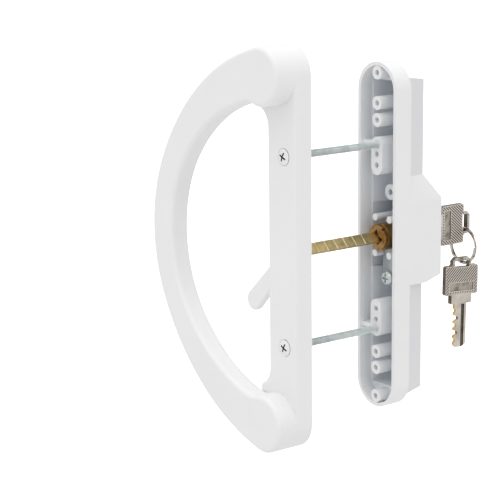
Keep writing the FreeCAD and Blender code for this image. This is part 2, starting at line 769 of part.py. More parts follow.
def outside_handle():
    """The outer pull, one hollow casting: rim tier, narrower tier, cylinder block and its bosses."""
    body = new_body("outside_handle")
    rim = new_sketch(body, "XZ_Plane", "rim_outline", outward("0"))
    add_stadium(rim, "shell_half_height", "shell_width / 2")
    pad(body, rim, "rim_step_depth", back=True)
    add_tier(body, "tier", "0", "rim_step_depth - tier_overlap", "tier_depth")
    add_cylinder_block(body)
    round_shell_edges(body)
    hollow = new_sketch(body, "XZ_Plane", "rim_hollow", outward("0"))
    add_stadium(hollow, "shell_half_height - shell_wall", "shell_width / 2 - shell_wall")
    pocket(body, hollow, "rim_step_depth - shell_floor")
    add_tier(body, "tier_hollow", "shell_wall", "rim_step_depth - shell_floor - tier_overlap",
             "tier_depth - shell_floor", "PartDesign::SubtractiveLoft")
    block = new_sketch(body, "XZ_Plane", "block_hollow", outward("0"))
    add_rectangle(block, "shell_floor - shell_width / 2", "shell_width / 2 - shell_floor",
                  "block_low_rise + shell_floor - block_low_height", "block_top_height - shell_floor")
    pocket(body, block, "block_depth - shell_floor")
    add_outside_bosses(body)
    bore_outside_bosses(body)
    return body


def add_tier(body, name, wall, near, far, kind="PartDesign::AdditiveLoft"):
    """The narrower tier, or its hollow inside a wall, whose four sides draw in with depth."""
    sections = []
    for place, (depth, inset, drop) in enumerate([
            (near, "tier_inset_near", "0"), (far, "tier_inset_far", "tier_end_slope")]):
        sketch = new_sketch(body, "XZ_Plane", "%s_section_%d" % (name, place), outward(depth))
        half = "( shell_width / 2 - %s - %s )" % (inset, wall)
        high = "( shell_half_height - tier_end_drop - %s - %s )" % (drop, wall)
        add_rectangle(sketch, "0 - " + half, half, "0 - " + high, high)
        sections.append(sketch)
    return loft(body, sections, kind)


def add_cylinder_block(body):
    """The full-width block round the cylinder, with a sloping shoulder above and draft below."""
    shoulder = new_sketch(body, "XY_Plane", "shoulder_top", "block_slope_height")
    near = "door_gap + rim_step_depth - tier_overlap"
    add_polygon(shoulder, [
        ("tier_inset_near - shell_width / 2", near),
        ("shell_width / 2 - tier_inset_near", near),
        ("shell_width / 2 - tier_inset_far", "door_gap + tier_depth"),
        ("tier_inset_far - shell_width / 2", "door_gap + tier_depth"),
    ])
    root = new_sketch(body, "XY_Plane", "shoulder_root", "block_top_height")
    add_polygon(root, [
        ("0 - shell_width / 2", near),
        ("shell_width / 2", near),
        ("shell_width / 2", "door_gap + block_depth"),
        ("0 - shell_width / 2", "door_gap + block_depth"),
    ])
    loft(body, [root, shoulder])
    side = new_sketch(body, "YZ_Plane", "block_side")
    add_polygon(side, [
        (near, "0 - block_low_height"),
        ("door_gap + tier_depth", "0 - block_low_height"),
        ("door_gap + block_depth", "block_low_rise - block_low_height"),
        ("door_gap + block_depth", "block_top_height"),
        (near, "block_top_height"),
    ])
    pad(body, side, "shell_width", symmetric=True)


def round_shell_edges(body):
    """Soft corners where a hand meets the outer face of the casting."""
    face = size("door_gap") + size("block_depth")
    round_edges(body, body.Tip, "shell_edge_round",
                lambda edge: lies_across_depth(edge) and abs(edge.CenterOfMass.y - face) < 1e-3)


def add_outside_bosses(body):
    """Round bosses, the long bosses of the screws with a web each, and four pins at the cylinder."""
    rows = [
        ("first_bosses", "round_boss_diameter", FIRST_BOSS, "tier_depth"),
        ("second_bosses", "round_boss_diameter", SECOND_BOSS, "tier_depth"),
        ("third_bosses", "round_boss_diameter", THIRD_BOSS, "rim_step_depth"),
        ("long_boss_inner_ends", "long_boss_width", LONG_BOSS, "tier_depth"),
        ("long_boss_outer_ends", "long_boss_width", "screw_spacing / 2", "tier_depth"),
    ]
    for name, diameter, height, depth in rows:
        bosses = add_pair(body, name, diameter, "0", height, outward("0"))
        pad(body, bosses, depth + " - shell_floor / 2", back=True)
    middles = new_sketch(body, "XZ_Plane", "long_boss_middles", outward("0"))
    add_rectangle(middles, "0 - long_boss_width / 2", "long_boss_width / 2",
                  LONG_BOSS, "screw_spacing / 2")
    add_rectangle(middles, "0 - long_boss_width / 2", "long_boss_width / 2",
                  "-1 * screw_spacing / 2", "-1 * ( " + LONG_BOSS + " )")
    pad(body, middles, "tier_depth - shell_floor / 2", back=True)
    webs = new_sketch(body, "XZ_Plane", "long_boss_webs", outward("shell_wall"))
    for _, sign in SIDES:
        add_rectangle(webs, "shell_wall / 2 - shell_width / 2", "0",
                      sign + "screw_spacing / 2 - web_thickness / 2",
                      sign + "screw_spacing / 2 + web_thickness / 2")
    pad(body, webs, "rim_step_depth - shell_wall - shell_floor / 2", back=True)
    pins = new_sketch(body, "XZ_Plane", "cylinder_pins", outward("pin_drop"))
    for _, sign in SIDES:
        add_circle(pins, "pin_diameter", "0 - pin_side", sign + "pin_height")
        add_circle(pins, "pin_diameter", "pin_side", sign + "pin_height")
    pad(body, pins, "block_depth - pin_drop - shell_floor / 2", back=True)
    clamps = add_pair(body, "clamp_bosses", "cylinder_screw_boss_diameter", "0",
                      "cylinder_screw_height", outward(CLAMP_SEAT))
    pad(body, clamps, "tier_depth - shell_floor / 2 - ( %s )" % CLAMP_SEAT, back=True)
    collar = new_sketch(body, "XZ_Plane", "cylinder_collar", outward("collar_drop"))
    add_circle(collar, "collar_diameter")
    pad(body, collar, "block_depth - shell_floor / 2 - collar_drop", back=True)


def bore_outside_bosses(body):
    """The bore of the cylinder, the blind holes of the long screws and the spare fixing holes."""
    bore = new_sketch(body, "XZ_Plane", "cylinder_bore", outward("0"))
    add_circle(bore, "sleeve_diameter + 2 * running_clearance")
    pocket(body, bore, "block_depth + cut_overrun")
    for place, height in enumerate((FIRST_BOSS, SECOND_BOSS, THIRD_BOSS, NEAR_PEG, FAR_PEG), start=1):
        pegs = add_pair(body, "peg_holes_%d" % place, "peg_hole_diameter", "0", height, outward("0"))
        pocket(body, pegs, "peg_hole_depth")
    screws = add_pair(body, "blind_screw_holes", "screw_shank_diameter + 2 * running_clearance", "0",
                      "screw_spacing / 2", outward("0"))
    pocket(body, screws, "screw_grip_length + screw_shank_diameter / 4")
    clamps = add_pair(body, "clamp_holes", "cylinder_screw_shank_diameter + 2 * running_clearance",
                      "0", "cylinder_screw_height", outward("0"))
    pocket(body, clamps, CLAMP_SEAT + " + cylinder_screw_length - running_clearance")


def add_disc(body, name, start, diameter, length):
    """A round pad outwards from a depth in the outer handle."""
    sketch = new_sketch(body, "XZ_Plane", name, outward(start))
    add_circle(sketch, diameter)
    return pad(body, sketch, length, back=True)


def cylinder_sleeve():
    """The fixed tube of the cylinder, with a groove for the clamp plate."""
    body = new_body("cylinder_sleeve")
    add_disc(body, "sleeve_tube", "plug_back_drop", "sleeve_diameter",
             "block_depth + sleeve_proud - plug_back_drop")
    bore = new_sketch(body, "XZ_Plane", "sleeve_bore", outward("0"))
    add_circle(bore, "plug_diameter + 2 * running_clearance")
    pocket(body, bore, "block_depth + sleeve_proud + cut_overrun")
    groove = new_sketch(body, "XY_Plane", "sleeve_groove")
    root = "sleeve_diameter / 2 - clamp_groove_depth"
    start = "door_gap + %s - running_clearance" % CLAMP_FACE
    end = "door_gap + %s + running_clearance" % CLAMP_SEAT
    add_polygon(groove, [(root, start), ("sleeve_diameter / 2 + cut_overrun", start),
                         ("sleeve_diameter / 2 + cut_overrun", end), (root, end)])
    cut = body.newObject("PartDesign::Groove", "sleeve_groove_turned")
    cut.Profile = groove
    cut.ReferenceAxis = (groove, ["V_Axis"])
    cut.Angle = 360.0
    doc.recompute()
    return body


def wafer_depth(place):
    """How deep in the outer handle the inner face of a wafer lies."""
    return "block_depth + sleeve_proud - wafer_first - %d * wafer_pitch" % place


def cylinder_plug():
    """The part that the key turns: keyway, five wafer slots and a recess for the tailpiece."""
    body = new_body("cylinder_plug")
    add_disc(body, "plug_core", "plug_back_drop + running_clearance", "plug_diameter",
             "block_depth + sleeve_proud - plug_back_drop")
    add_disc(body, "plug_flange", "block_depth + sleeve_proud + running_clearance",
             "plug_flange_diameter", "plug_flange_thickness")
    keyway = new_sketch(body, "XZ_Plane", "keyway", outward("0"))
    side = "( blade_thickness / 2 + 2 * running_clearance )"
    high = "( blade_height / 2 + 2 * running_clearance )"
    add_rectangle(keyway, "0 - " + side, side, "0 - " + high, high)
    pocket(body, keyway, "block_depth + sleeve_proud + plug_flange_thickness + cut_overrun")
    recess = new_sketch(body, "XZ_Plane", "tail_recess", outward("0"))
    add_circle(recess, "plug_recess_diameter")
    pocket(body, recess, "plug_back_drop + plug_recess_depth")
    slots = new_sketch(body, "YZ_Plane", "wafer_slots")
    pits = new_sketch(body, "YZ_Plane", "spring_pits")
    for place in range(WAFER_COUNT):
        start = "door_gap + %s - running_clearance" % wafer_depth(place)
        end = start + " + wafer_thickness + 2 * running_clearance"
        add_rectangle(slots, start, end, "0 - plug_diameter / 2", "plug_diameter / 2")
        add_rectangle(pits, start, end, "0 - 2 * wafer_lug_height",
                      "spring_height + 2 * spring_wire_diameter")
    pocket(body, slots, "2 * wafer_half_width + 2 * running_clearance", symmetric=True)
    pocket(body, pits, "wafer_lug_reach + 2 * running_clearance", along=True)
    return body


def wafer(place):
    """One stamped wafer, lifted level with the plug by the key in its window."""
    name = "wafer_%d" % (place + 1)
    body = new_body(name)
    start = outward(wafer_depth(place))
    for part, corners in (
            ("plate", ("0 - wafer_half_width", "wafer_half_width",
                       "0 - wafer_half_height", "wafer_half_height")),
            ("lug", ("0", "wafer_lug_reach", "0 - wafer_lug_height", "0"))):
        sketch = new_sketch(body, "XZ_Plane", "%s_%s" % (name, part), start)
        add_rectangle(sketch, *corners)
        pad(body, sketch, "wafer_thickness", back=True)
    window = new_sketch(body, "XZ_Plane", name + "_window", start)
    side = "( blade_thickness / 2 + 2 * running_clearance )"
    high = "( blade_height / 2 + 2 * running_clearance )"
    add_rectangle(window, "0 - " + side, side, "0 - " + high, high)
    pocket(body, window, "wafer_thickness + cut_overrun")
    return body


def wafer_spring(place):
    """The small coil spring that pushes a wafer's lug, its turns drawn as short straight runs."""
    name = "wafer_spring_%d" % (place + 1)
    middle = (size("spring_coil_diameter") - size("spring_wire_diameter")) / 2
    rise = size("spring_pitch") / SPRING_RUNS
    runs = int((size("spring_height") - size("spring_wire_diameter")) / rise)
    points = []
    for step in range(runs + 1):
        angle = 2 * math.pi * step / SPRING_RUNS
        points.append(V(middle * math.cos(angle), middle * math.sin(angle), rise * step))
    coil = doc.addObject("Part::Feature", name + "_path")
    coil.Shape = Part.makePolygon(points)
    wire = doc.addObject("Part::RegularPolygon", name + "_wire")
    wire.Polygon = 4
    wire.setExpression("Circumradius", "sizes.spring_wire_diameter / 2")
    wire.Placement = FreeCAD.Placement(V(0, 0, 0), FreeCAD.Rotation(V(1, 0, 0), 90))
    wire.setExpression(".Placement.Base.x",
                       bound("( spring_coil_diameter - spring_wire_diameter ) / 2"))
    spring = doc.addObject("Part::Sweep", name)
    spring.Sections = [wire]
    spring.Spine = (coil, ["Edge%d" % (step + 1) for step in range(runs)])
    spring.Solid = True
    spring.Transition = "Right corner"
    spring.Label = name
    spring.setExpression(".Placement.Base.x", bound("( wafer_half_width + wafer_lug_reach ) / 2"))
    spring.setExpression(".Placement.Base.y", bound(
        "door_gap + %s + wafer_thickness / 2" % wafer_depth(place)))
    spring.setExpression(".Placement.Base.z", "sizes.spring_wire_diameter")
    return spring


def plug_end_cap():
    """The notched cap on the plug's inner end, with the bow-tie slot that the tailpiece turns in."""
    body = new_body("plug_end_cap")
    add_disc(body, "cap_disc", "plug_back_drop - cap_thickness", "cap_diameter", "cap_thickness")
    slot = new_sketch(body, "XZ_Plane", "cap_slot", outward("0"))
    half_angle = math.radians(size("cap_slot_half_angle"))
    wide = size("cap_slot_reach") * math.sin(half_angle)
    high = size("cap_slot_reach") * math.cos(half_angle)
    waist = size("cap_slot_waist") / 2
    corners = [V(wide, high, 0), V(-wide, high, 0), V(-waist, 0, 0),
               V(-wide, -high, 0), V(wide, -high, 0), V(waist, 0, 0)]
    add_outline(slot, [("line", corners[place], corners[(place + 1) % 6]) for place in range(6)])
    pocket(body, slot, "plug_back_drop + cut_overrun")
    for side, sign in (("left", "-1 * "), ("right", "1 * ")):
        notch = new_sketch(body, "XZ_Plane", side + "_cap_notch", outward("0"))
        ends = [sign + "( cap_diameter / 2 - cap_notch_depth )", sign + "( cap_diameter / 2 + cut_overrun )"]
        if side == "left":
            ends.reverse()
        add_rectangle(notch, ends[0], ends[1], "0 - cap_notch_width / 2", "cap_notch_width / 2")
        pocket(body, notch, "plug_back_drop + cut_overrun")
    turned_about_depth(body, "-1 * lever_rest_angle")
    return body


def cylinder_clamp_plate():
    """The steel plate that reaches into the sleeve's groove from its boss below the cylinder."""
    body = new_body("cylinder_clamp_plate")
    plate = new_sketch(body, "XZ_Plane", "clamp_plate", outward(CLAMP_FACE))
    half = "( cylinder_screw_boss_diameter / 2 )"
    tongue = "( pin_side - pin_diameter / 2 - sliding_clearance )"
    low = "0 - cylinder_screw_height - " + half
    step = "0 - pin_height - pin_diameter / 2 - sliding_clearance"
    high = "0 - ( sleeve_diameter / 2 - clamp_groove_depth + running_clearance )"
    add_polygon(plate, [
        ("0 - " + half, low), (half, low), (half, step), (tongue, step),
        (tongue, high), ("0 - " + tongue, high), ("0 - " + tongue, step), ("0 - " + half, step),
    ])
    pad(body, plate, "clamp_plate_thickness", back=True)
    hole = new_sketch(body, "XZ_Plane", "clamp_plate_hole", outward("0"))
    add_circle(hole, "cylinder_screw_shank_diameter + 2 * running_clearance", "0",
               "0 - cylinder_screw_height")
    pocket(body, hole, CLAMP_SEAT + " + cut_overrun")
    return body


def cylinder_clamp_screw():
    """The pan head cross screw that holds the clamp plate."""
    body = new_body("cylinder_clamp_screw")
    profile = new_sketch(body, "XY_Plane", "clamp_screw_profile")
    top = "door_gap + cylinder_screw_drop"
    seat = "door_gap + " + CLAMP_FACE
    end = seat + " + clamp_plate_thickness + cylinder_screw_length"
    head = "cylinder_screw_head_diameter / 2"
    shank = "cylinder_screw_shank_diameter / 2"
    add_polygon(profile, [
        ("0", top),
        (head + " - cylinder_screw_bevel", top),
        (head, top + " + cylinder_screw_head_height / 2"),
        (head, seat),
        (shank, seat),
        (shank, end + " - cylinder_screw_bevel"),
        ("0", end + " - cylinder_screw_bevel / 4"),
    ])
    revolve(body, profile)
    recess = new_sketch(body, "XZ_Plane", "clamp_screw_recess",
                        outward("cylinder_screw_drop + driver_slot_depth"))
    add_polygon(recess, cross_corners("driver_slot_span", "driver_slot_width"))
    pocket(body, recess, "driver_slot_depth + cut_overrun", along=True)
    body.setExpression(".Placement.Base.z", "-1 * sizes.cylinder_screw_height")
    return body


def blade_corners():
    """The side view of a key's blade, with its shoulder at zero and its tip towards the room."""
    half = size("blade_height") / 2
    length = size("blade_length")
    pitch = size("key_cut_pitch")
    slope = size("blade_tip_slope")
    bevel = size("blade_tip_bevel")
    overlap = size("blade_overlap")
    corners = [V(overlap, half, 0), V(slope - length, half, 0), V(-length, half - slope, 0),
               V(-length, bevel - half, 0), V(bevel - length, -half, 0)]
    for place, share in enumerate(CUT_DEPTHS):
        middle = size("blade_first_cut") - length + place * pitch
        root = share * size("blade_height")
        flat = size("key_cut_root") / 2
        foot = flat + root * size("key_cut_lean")
        corners += [V(middle - foot, -half, 0), V(middle - flat, root - half, 0),
                    V(middle + flat, root - half, 0), V(middle + foot, -half, 0)]
    return corners + [V(overlap, -half, 0)]


def key(name):
    """A cut key: blade with five cuts and a groove, thick shoulder, square bow with a slotted tab."""
    body = new_body(name)
    blade = new_sketch(body, "YZ_Plane", name + "_blade")
    corners = blade_corners()
    count = len(corners)
    add_outline(blade, [("line", corners[place], corners[(place + 1) % count]) for place in range(count)])
    pad(body, blade, "blade_thickness", symmetric=True)
    bow = new_sketch(body, "YZ_Plane", name + "_bow")
    half_bow = "bow_height / 2"
    half_tab = "bow_tab_height / 2"
    bow_end = "shoulder_length + bow_length"
    tab_end = bow_end + " + bow_tab_length"
    add_polygon(bow, [
        ("shoulder_length", "0 - " + half_bow),
        (bow_end, "0 - " + half_bow),
        (bow_end, "0 - " + half_tab + " - bow_tab_chamfer / 2"),
        (bow_end + " + bow_tab_chamfer / 2", "0 - " + half_tab),
        (tab_end + " - bow_tab_chamfer", "0 - " + half_tab),
        (tab_end, "bow_tab_chamfer - " + half_tab),
        (tab_end, half_tab + " - bow_tab_chamfer"),
        (tab_end + " - bow_tab_chamfer", half_tab),
        (bow_end + " + bow_tab_chamfer / 2", half_tab),
        (bow_end, half_tab + " + bow_tab_chamfer / 2"),
        (bow_end, half_bow),
        ("shoulder_length", half_bow),
    ])
    plate = pad(body, bow, "bow_thickness", symmetric=True)
    far = size("bow_height") / 2
    round_edges(body, plate, "bow_corner_round",
                lambda edge: abs(abs(edge.CenterOfMass.z) - far) < 1e-3 and edge.BoundBox.XLength > 1)
    shoulder = new_sketch(body, "YZ_Plane", name + "_shoulder")
    add_rectangle(shoulder, "0", "shoulder_length + blade_overlap",
                  "0 - shoulder_height / 2", "shoulder_height / 2")
    pad(body, shoulder, "shoulder_thickness", symmetric=True)
    slot = new_sketch(body, "YZ_Plane", name + "_ring_slot")
    add_rectangle(slot, tab_end + " - bow_slot_inset - bow_slot_length",
                  tab_end + " - bow_slot_inset", "0 - bow_slot_height / 2", "bow_slot_height / 2")
    pocket(body, slot, "bow_thickness + cut_overrun", symmetric=True)
    for side, sign in (("near", "1 * "), ("far", "-1 * ")):
        panel = new_sketch(body, "YZ_Plane", "%s_%s_panel" % (name, side),
                           sign + "( bow_thickness / 2 - bow_panel_depth )")
        add_rectangle(panel, "shoulder_length + bow_panel_inset",
                      "shoulder_length + bow_panel_inset + bow_panel_length",
                      "0 - bow_panel_height / 2", "bow_panel_height / 2")
        pocket(body, panel, "bow_panel_depth + cut_overrun", along=side == "near")
        groove = new_sketch(body, "YZ_Plane", "%s_%s_groove" % (name, side),
                            sign + "( blade_thickness / 2 - blade_groove_depth )")
        add_rectangle(groove, "0 - blade_length - cut_overrun", "0 - blade_overlap",
                      "blade_groove_height / 4", "blade_groove_height * 5 / 4")
        pocket(body, groove, "blade_groove_depth + cut_overrun", along=side == "near")
    return body


def lock_key():
    """The key that stands in the cylinder, stopped by its shoulder."""
    body = key("lock_key")
    body.setExpression(".Placement.Base.y", bound(KEY_STOP))
    return body


def ring_centre():
    """The middle of the key ring, which hangs on the lower end of the slot in the lock key."""
    wire = size("ring_wire")
    across = value(KEY_STOP) + value(SLOT_END) - size("bow_slot_length") / 2
    top = wire / 2 + size("hanging_clearance") - size("bow_slot_height") / 2
    return V(0, across, top - (size("ring_diameter") - wire) / 2)


def key_ring():
    """The plain wire ring that joins the two keys."""
    ring = doc.addObject("Part::Torus", "key_ring")
    ring.setExpression("Radius1", bound("( ring_diameter - ring_wire ) / 2"))
    ring.setExpression("Radius2", "sizes.ring_wire / 2")
    ring.Label = "key_ring"
    ring.Placement = FreeCAD.Placement(ring_centre(), FreeCAD.Rotation(V(1, 0, 0), 90))
    return ring


def spare_key():
    """The second key, hanging on the bottom of the ring by the slot in its tab."""
    body = key("spare_key")
    wire = size("ring_wire")
    hook = ring_centre() - V(0, 0, (size("ring_diameter") - wire) / 2)
    held = V(0, value(SLOT_END) - wire / 2 - size("hanging_clearance"), 0)
    upright = FreeCAD.Rotation(V(1, 0, 0), 90)
    lean = FreeCAD.Rotation(V(1, 0, 0), -size("spare_key_lean"))
    turn = FreeCAD.Rotation(V(0, 0, 1), -size("spare_key_turn"))
    whole = lean.multiply(turn).multiply(upright)
    body.Placement = FreeCAD.Placement(hook - whole.multVec(held), whole)
    return body


def build():
    """All the pieces of the handle pair, in the order they would be laid out on a bench."""
    pieces = [inside_handle(), thumb_lever(), lever_seat_plate()]
    pieces += lever_seat_screws()
    pieces += [mounting_screw("upper_mounting_screw", 1), mounting_screw("lower_mounting_screw", -1)]
    pieces += [tailpiece(), outside_handle(), cylinder_sleeve(), cylinder_plug(), plug_end_cap()]
    pieces += [wafer(place) for place in range(WAFER_COUNT)]
    pieces += [wafer_spring(place) for place in range(WAFER_COUNT)]
    pieces += [cylinder_clamp_plate(), cylinder_clamp_screw()]
    pieces += [lock_key(), key_ring(), spare_key()]
    return pieces


def save(pieces):
    """Write one file for each piece, once every object and shape is sound."""
    doc.recompute()
    for item in doc.Objects:
        if "Invalid" in item.State or "Error" in item.State:
            raise RuntimeError(item.Name + " failed")
    for piece in pieces:
        shape = piece.Shape
        if shape.isNull() or not shape.isValid() or len(shape.Solids) != 1:
            raise RuntimeError(piece.Label + " isn't one sound solid")
    os.makedirs("parts", exist_ok=True)
    for piece in pieces:
        piece.Shape.exportStep("parts/%s.step" % piece.Label)
        print("%-24s %9.1f mm3" % (piece.Label, piece.Shape.Volume))


save(build())
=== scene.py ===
import json
import math

import bmesh
import bpy
from bpy.props import FloatProperty, IntProperty, PointerProperty, StringProperty
from mathutils import Matrix, Vector
from mathutils.bvhtree import BVHTree


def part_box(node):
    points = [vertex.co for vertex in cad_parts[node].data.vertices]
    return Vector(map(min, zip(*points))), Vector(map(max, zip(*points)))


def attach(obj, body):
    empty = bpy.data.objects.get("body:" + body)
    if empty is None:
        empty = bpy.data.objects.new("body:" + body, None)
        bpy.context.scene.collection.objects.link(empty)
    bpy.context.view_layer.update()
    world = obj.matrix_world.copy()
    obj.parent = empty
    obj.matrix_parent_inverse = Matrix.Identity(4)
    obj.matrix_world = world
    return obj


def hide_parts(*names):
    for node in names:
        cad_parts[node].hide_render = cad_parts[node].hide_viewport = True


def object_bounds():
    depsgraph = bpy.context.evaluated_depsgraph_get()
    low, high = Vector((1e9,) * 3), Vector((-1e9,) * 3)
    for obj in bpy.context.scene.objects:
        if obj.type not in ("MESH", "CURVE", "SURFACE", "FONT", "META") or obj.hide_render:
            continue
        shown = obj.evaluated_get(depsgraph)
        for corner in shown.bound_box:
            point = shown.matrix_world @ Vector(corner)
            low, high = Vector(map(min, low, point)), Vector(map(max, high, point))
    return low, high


# The finishes of a sliding door's handle pair: enamelled castings, plated screws, a scored
# tailpiece, a brass key cylinder, and two nickel keys on a split ring.

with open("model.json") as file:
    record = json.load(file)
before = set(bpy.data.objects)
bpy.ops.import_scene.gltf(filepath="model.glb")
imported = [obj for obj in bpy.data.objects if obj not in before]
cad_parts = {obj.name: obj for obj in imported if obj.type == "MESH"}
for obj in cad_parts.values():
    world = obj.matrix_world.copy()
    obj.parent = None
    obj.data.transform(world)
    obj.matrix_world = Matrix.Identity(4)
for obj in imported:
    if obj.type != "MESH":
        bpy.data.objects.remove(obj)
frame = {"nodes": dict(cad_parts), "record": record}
CAD_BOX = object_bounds()

bl_info = {
    "name": "Patio Door Handle Finishes",
    "version": (1, 0, 0),
    "blender": (4, 5, 0),
    "location": "View3D > Sidebar > Door Handle",
    "description": "Finishes and studio for a sliding door's handle pair",
    "category": "Object",
}

MM = 0.001
DOOR_AXIS = Vector((0.0, 1.0, 0.0))
# Turns a shape drawn flat on the floor to face along the door axis, and back
QUARTER_TURN = math.radians(90)
# Corners that lie closer than this are one corner
MERGE_GAP = 0.002 * MM
# Reading room when two flats are compared
FLAT_ROOM = 0.02 * MM

# Widths of the patterns in the finishes, in millimetres
ENAMEL_CLOUD = 38
ENAMEL_PEEL = 1.1
ENAMEL_GRAIN = 0.35
OVERSPRAY_GRAIN = 0.7
POCKET_WEAR = 4
RECESS_GLOSS_SPOTS = 0.8
# Height of the peel of paint and of the scratches in plate
FINE_RELIEF = 0.02 * MM
HATCH_RELIEF = 0.12 * MM
HATCH_SLANT = math.radians(40)
# How much a scratch is drawn out along the door axis
SCRATCH_SQUEEZE = (1.0, 0.12, 1.0)

# The outer pull, measured from its open mouth: where the painted shade of its hollow starts and
# reaches full grey, and behind what level its walls belong to the recessed step
PAINTED_SHADE_START = 1.0 * MM
PAINTED_SHADE_END = 14.0 * MM
STEP_LEVEL = 11.0 * MM
PULL_WALL = 1.2 * MM

# The long screws: straight runs in a turn of thread, half the foot and half the crest of a
# thread as shares of its pitch, and how the cross recess stands
THREAD_STEPS = 24
THREAD_FOOT = 0.42
THREAD_CREST = 0.06
THREAD_INSET = 0.03 * MM
RECESS_TURN = math.radians(24)
RECESS_FLARE = 1.08
HEAD_SIDES = 48
CROWN_SHARE = 0.78
CROWN_RINGS = (0.9, 1.0)

# The keys: from shoulder to bow, and what counts as off the middle of the blade
SHOULDER_LENGTH = 2.0 * MM
EDGE_REACH = 0.5 * MM
GROOVE_DEPTH = 0.1 * MM
PANEL_DEPTH = 0.2 * MM

# The split ring: sides of its wire, the flattened section and the slack between its turns
WIRE_SIDES = 12
WIRE_SECTION = (0.86, 0.42, 1.0)
WIRE_SLACK = 1.02

# The studio, in metres and watts
FLOOR_SIZE = 40.0
FLOOR_GLOW = 0.6
WORLD_FADE_TOP = 0.9
WORLD_LOW = 0.6
WORLD_HIGH = 1.24
CAMERA_AIM = Vector((-77.5 * MM, 26.0 * MM, -16.2 * MM))
LAMP_AIM = Vector((-0.03, 0.03, 0.0))
LAMPS = (
    ("top_panel", Vector((0.05, -0.25, 1.7)), 1.6, 4.0),
    ("front_panel", Vector((0.35, -1.3, 0.5)), 0.35, 0.5),
)


class HandleFinishes(bpy.types.PropertyGroup):
    """Colours of the finishes, as sRGB hex."""

    enamel: StringProperty(
        name="Enamel", description="Baked white enamel of the castings", default="#F0F0F0")
    # Painted light: the hollow's colour at its mouth, from which its painted shade darkens towards
    # the bottom
    shaded_hollow_enamel: StringProperty(
        name="Thin enamel", description="Thin coat inside the outer pull", default="#F8F8F8")
    # Painted shade: the hollow's colour at its bottom, darker and greyer where the hollow lies in
    # shade
    painted_hollow_shade: StringProperty(
        name="Deep enamel", description="The same coat at the bottom of the hollow",
        default="#D8DDE2")
    # Painted shade: a darker copy of the enamel on the sides of the recessed step
    step_painted_shade: StringProperty(
        name="Step enamel", description="The coat on the recessed step of the outer pull",
        default="#E2E2E3")
    zinc: StringProperty(
        name="Zinc", description="Bright zinc of the screws", default="#DBE1E0")
    zinc_shade: StringProperty(
        name="Zinc shade", description="Blue-green passivation in the zinc", default="#C3CECB")
    dull_zinc: StringProperty(
        name="Dull zinc", description="Unpolished zinc of the plates in the hollows",
        default="#A9AEB2")
    yellow_zinc: StringProperty(
        name="Yellow zinc", description="Yellow passivation of the tailpiece", default="#CDB682")
    yellow_zinc_tint: StringProperty(
        name="Yellow zinc tint", description="Olive patches in the passivation",
        default="#98905F")
    brass: StringProperty(
        name="Brass", description="Turned brass of the cylinder", default="#A98553")
    brass_shade: StringProperty(
        name="Brass shade", description="Tarnish of the cylinder", default="#6E5230")
    scored_zinc: StringProperty(
        name="Scored zinc", description="Bright metal in the tailpiece's score lines",
        default="#F1E9CB")
    cut_brass: StringProperty(
        name="Cut brass", description="Bare brass where a key is cut", default="#D9B45C")
    nickel: StringProperty(
        name="Nickel", description="Nickel plate of keys and ring", default="#DAD2C7")
    nickel_shade: StringProperty(
        name="Nickel shade", description="Cloudy patches in the nickel", default="#B5ADA2")
    # Painted shade: dark nickel on the stamped edges and the grooves of the keys
    key_edge_painted_shade: StringProperty(
        name="Key edge", description="Dull nickel of the stamped edges and grooves",
        default="#6E665D")
    # Painted shade: the dark of the hatching's grooves, the dark patches of the keys' edges and the
    # ring's dark reflections
    key_painted_shade: StringProperty(
        name="Key soil", description="Soil in the hatching and the grooves of the keys",
        default="#4A433C")
    # Painted shade: the dark inside of the screws' cross recesses
    recess_painted_shade: StringProperty(
        name="Recess soil", description="Dark inside of the screws' cross recesses",
        default="#4E5253")


class HandleSizes(bpy.types.PropertyGroup):
    """Sizes of the fine details that the finishes add."""

    casting_edge: FloatProperty(
        name="Casting edge", description="Radius of the enamelled edges",
        default=0.8 * MM, unit="LENGTH")
    metal_edge: FloatProperty(
        name="Metal edge", description="Radius of a stamped or turned edge",
        default=0.12 * MM, unit="LENGTH")
    thread_pitch: FloatProperty(
        name="Thread pitch", description="Distance between the screws' threads",
        default=0.794 * MM, unit="LENGTH")
    thread_depth: FloatProperty(
        name="Thread depth", description="Height of a thread above its root",
        default=0.42 * MM, unit="LENGTH")
    head_gap: FloatProperty(
        name="Head gap", description="Dark gap round a long screw's head",
        default=0.3 * MM, unit="LENGTH")
    recess_span: FloatProperty(
        name="Recess span", description="Width across the arms of a screw's cross recess",
        default=4.6 * MM, unit="LENGTH")
    recess_arm: FloatProperty(
        name="Recess arm", description="Width of one arm of the cross recess",
        default=0.9 * MM, unit="LENGTH")
    recess_depth: FloatProperty(
        name="Recess depth", description="Depth of the cross recess",
        default=1.5 * MM, unit="LENGTH")
    hatch_pitch: FloatProperty(
        name="Hatch pitch",
        description="Distance between the ridges on a key's bow, drawn coarse enough to show",
        default=1.2 * MM, unit="LENGTH")
    bow_rim: FloatProperty(
        name="Bow rim", description="Width of the plain rim round the hatching",
        default=0.55 * MM, unit="LENGTH")
    bow_sink: FloatProperty(
        name="Bow sink", description="Depth of the hatching below the plain rim",
        default=0.14 * MM, unit="LENGTH")
    blade_length: FloatProperty(
        name="Blade length", description="From a key's tip to its shoulder",
        default=25.0 * MM, unit="LENGTH")
    ring_turns: FloatProperty(
        name="Ring turns", description="How often the ring's wire goes round", default=1.9)
    ring_steps: IntProperty(
        name="Ring steps", description="Straight runs in one turn of the ring", default=72)


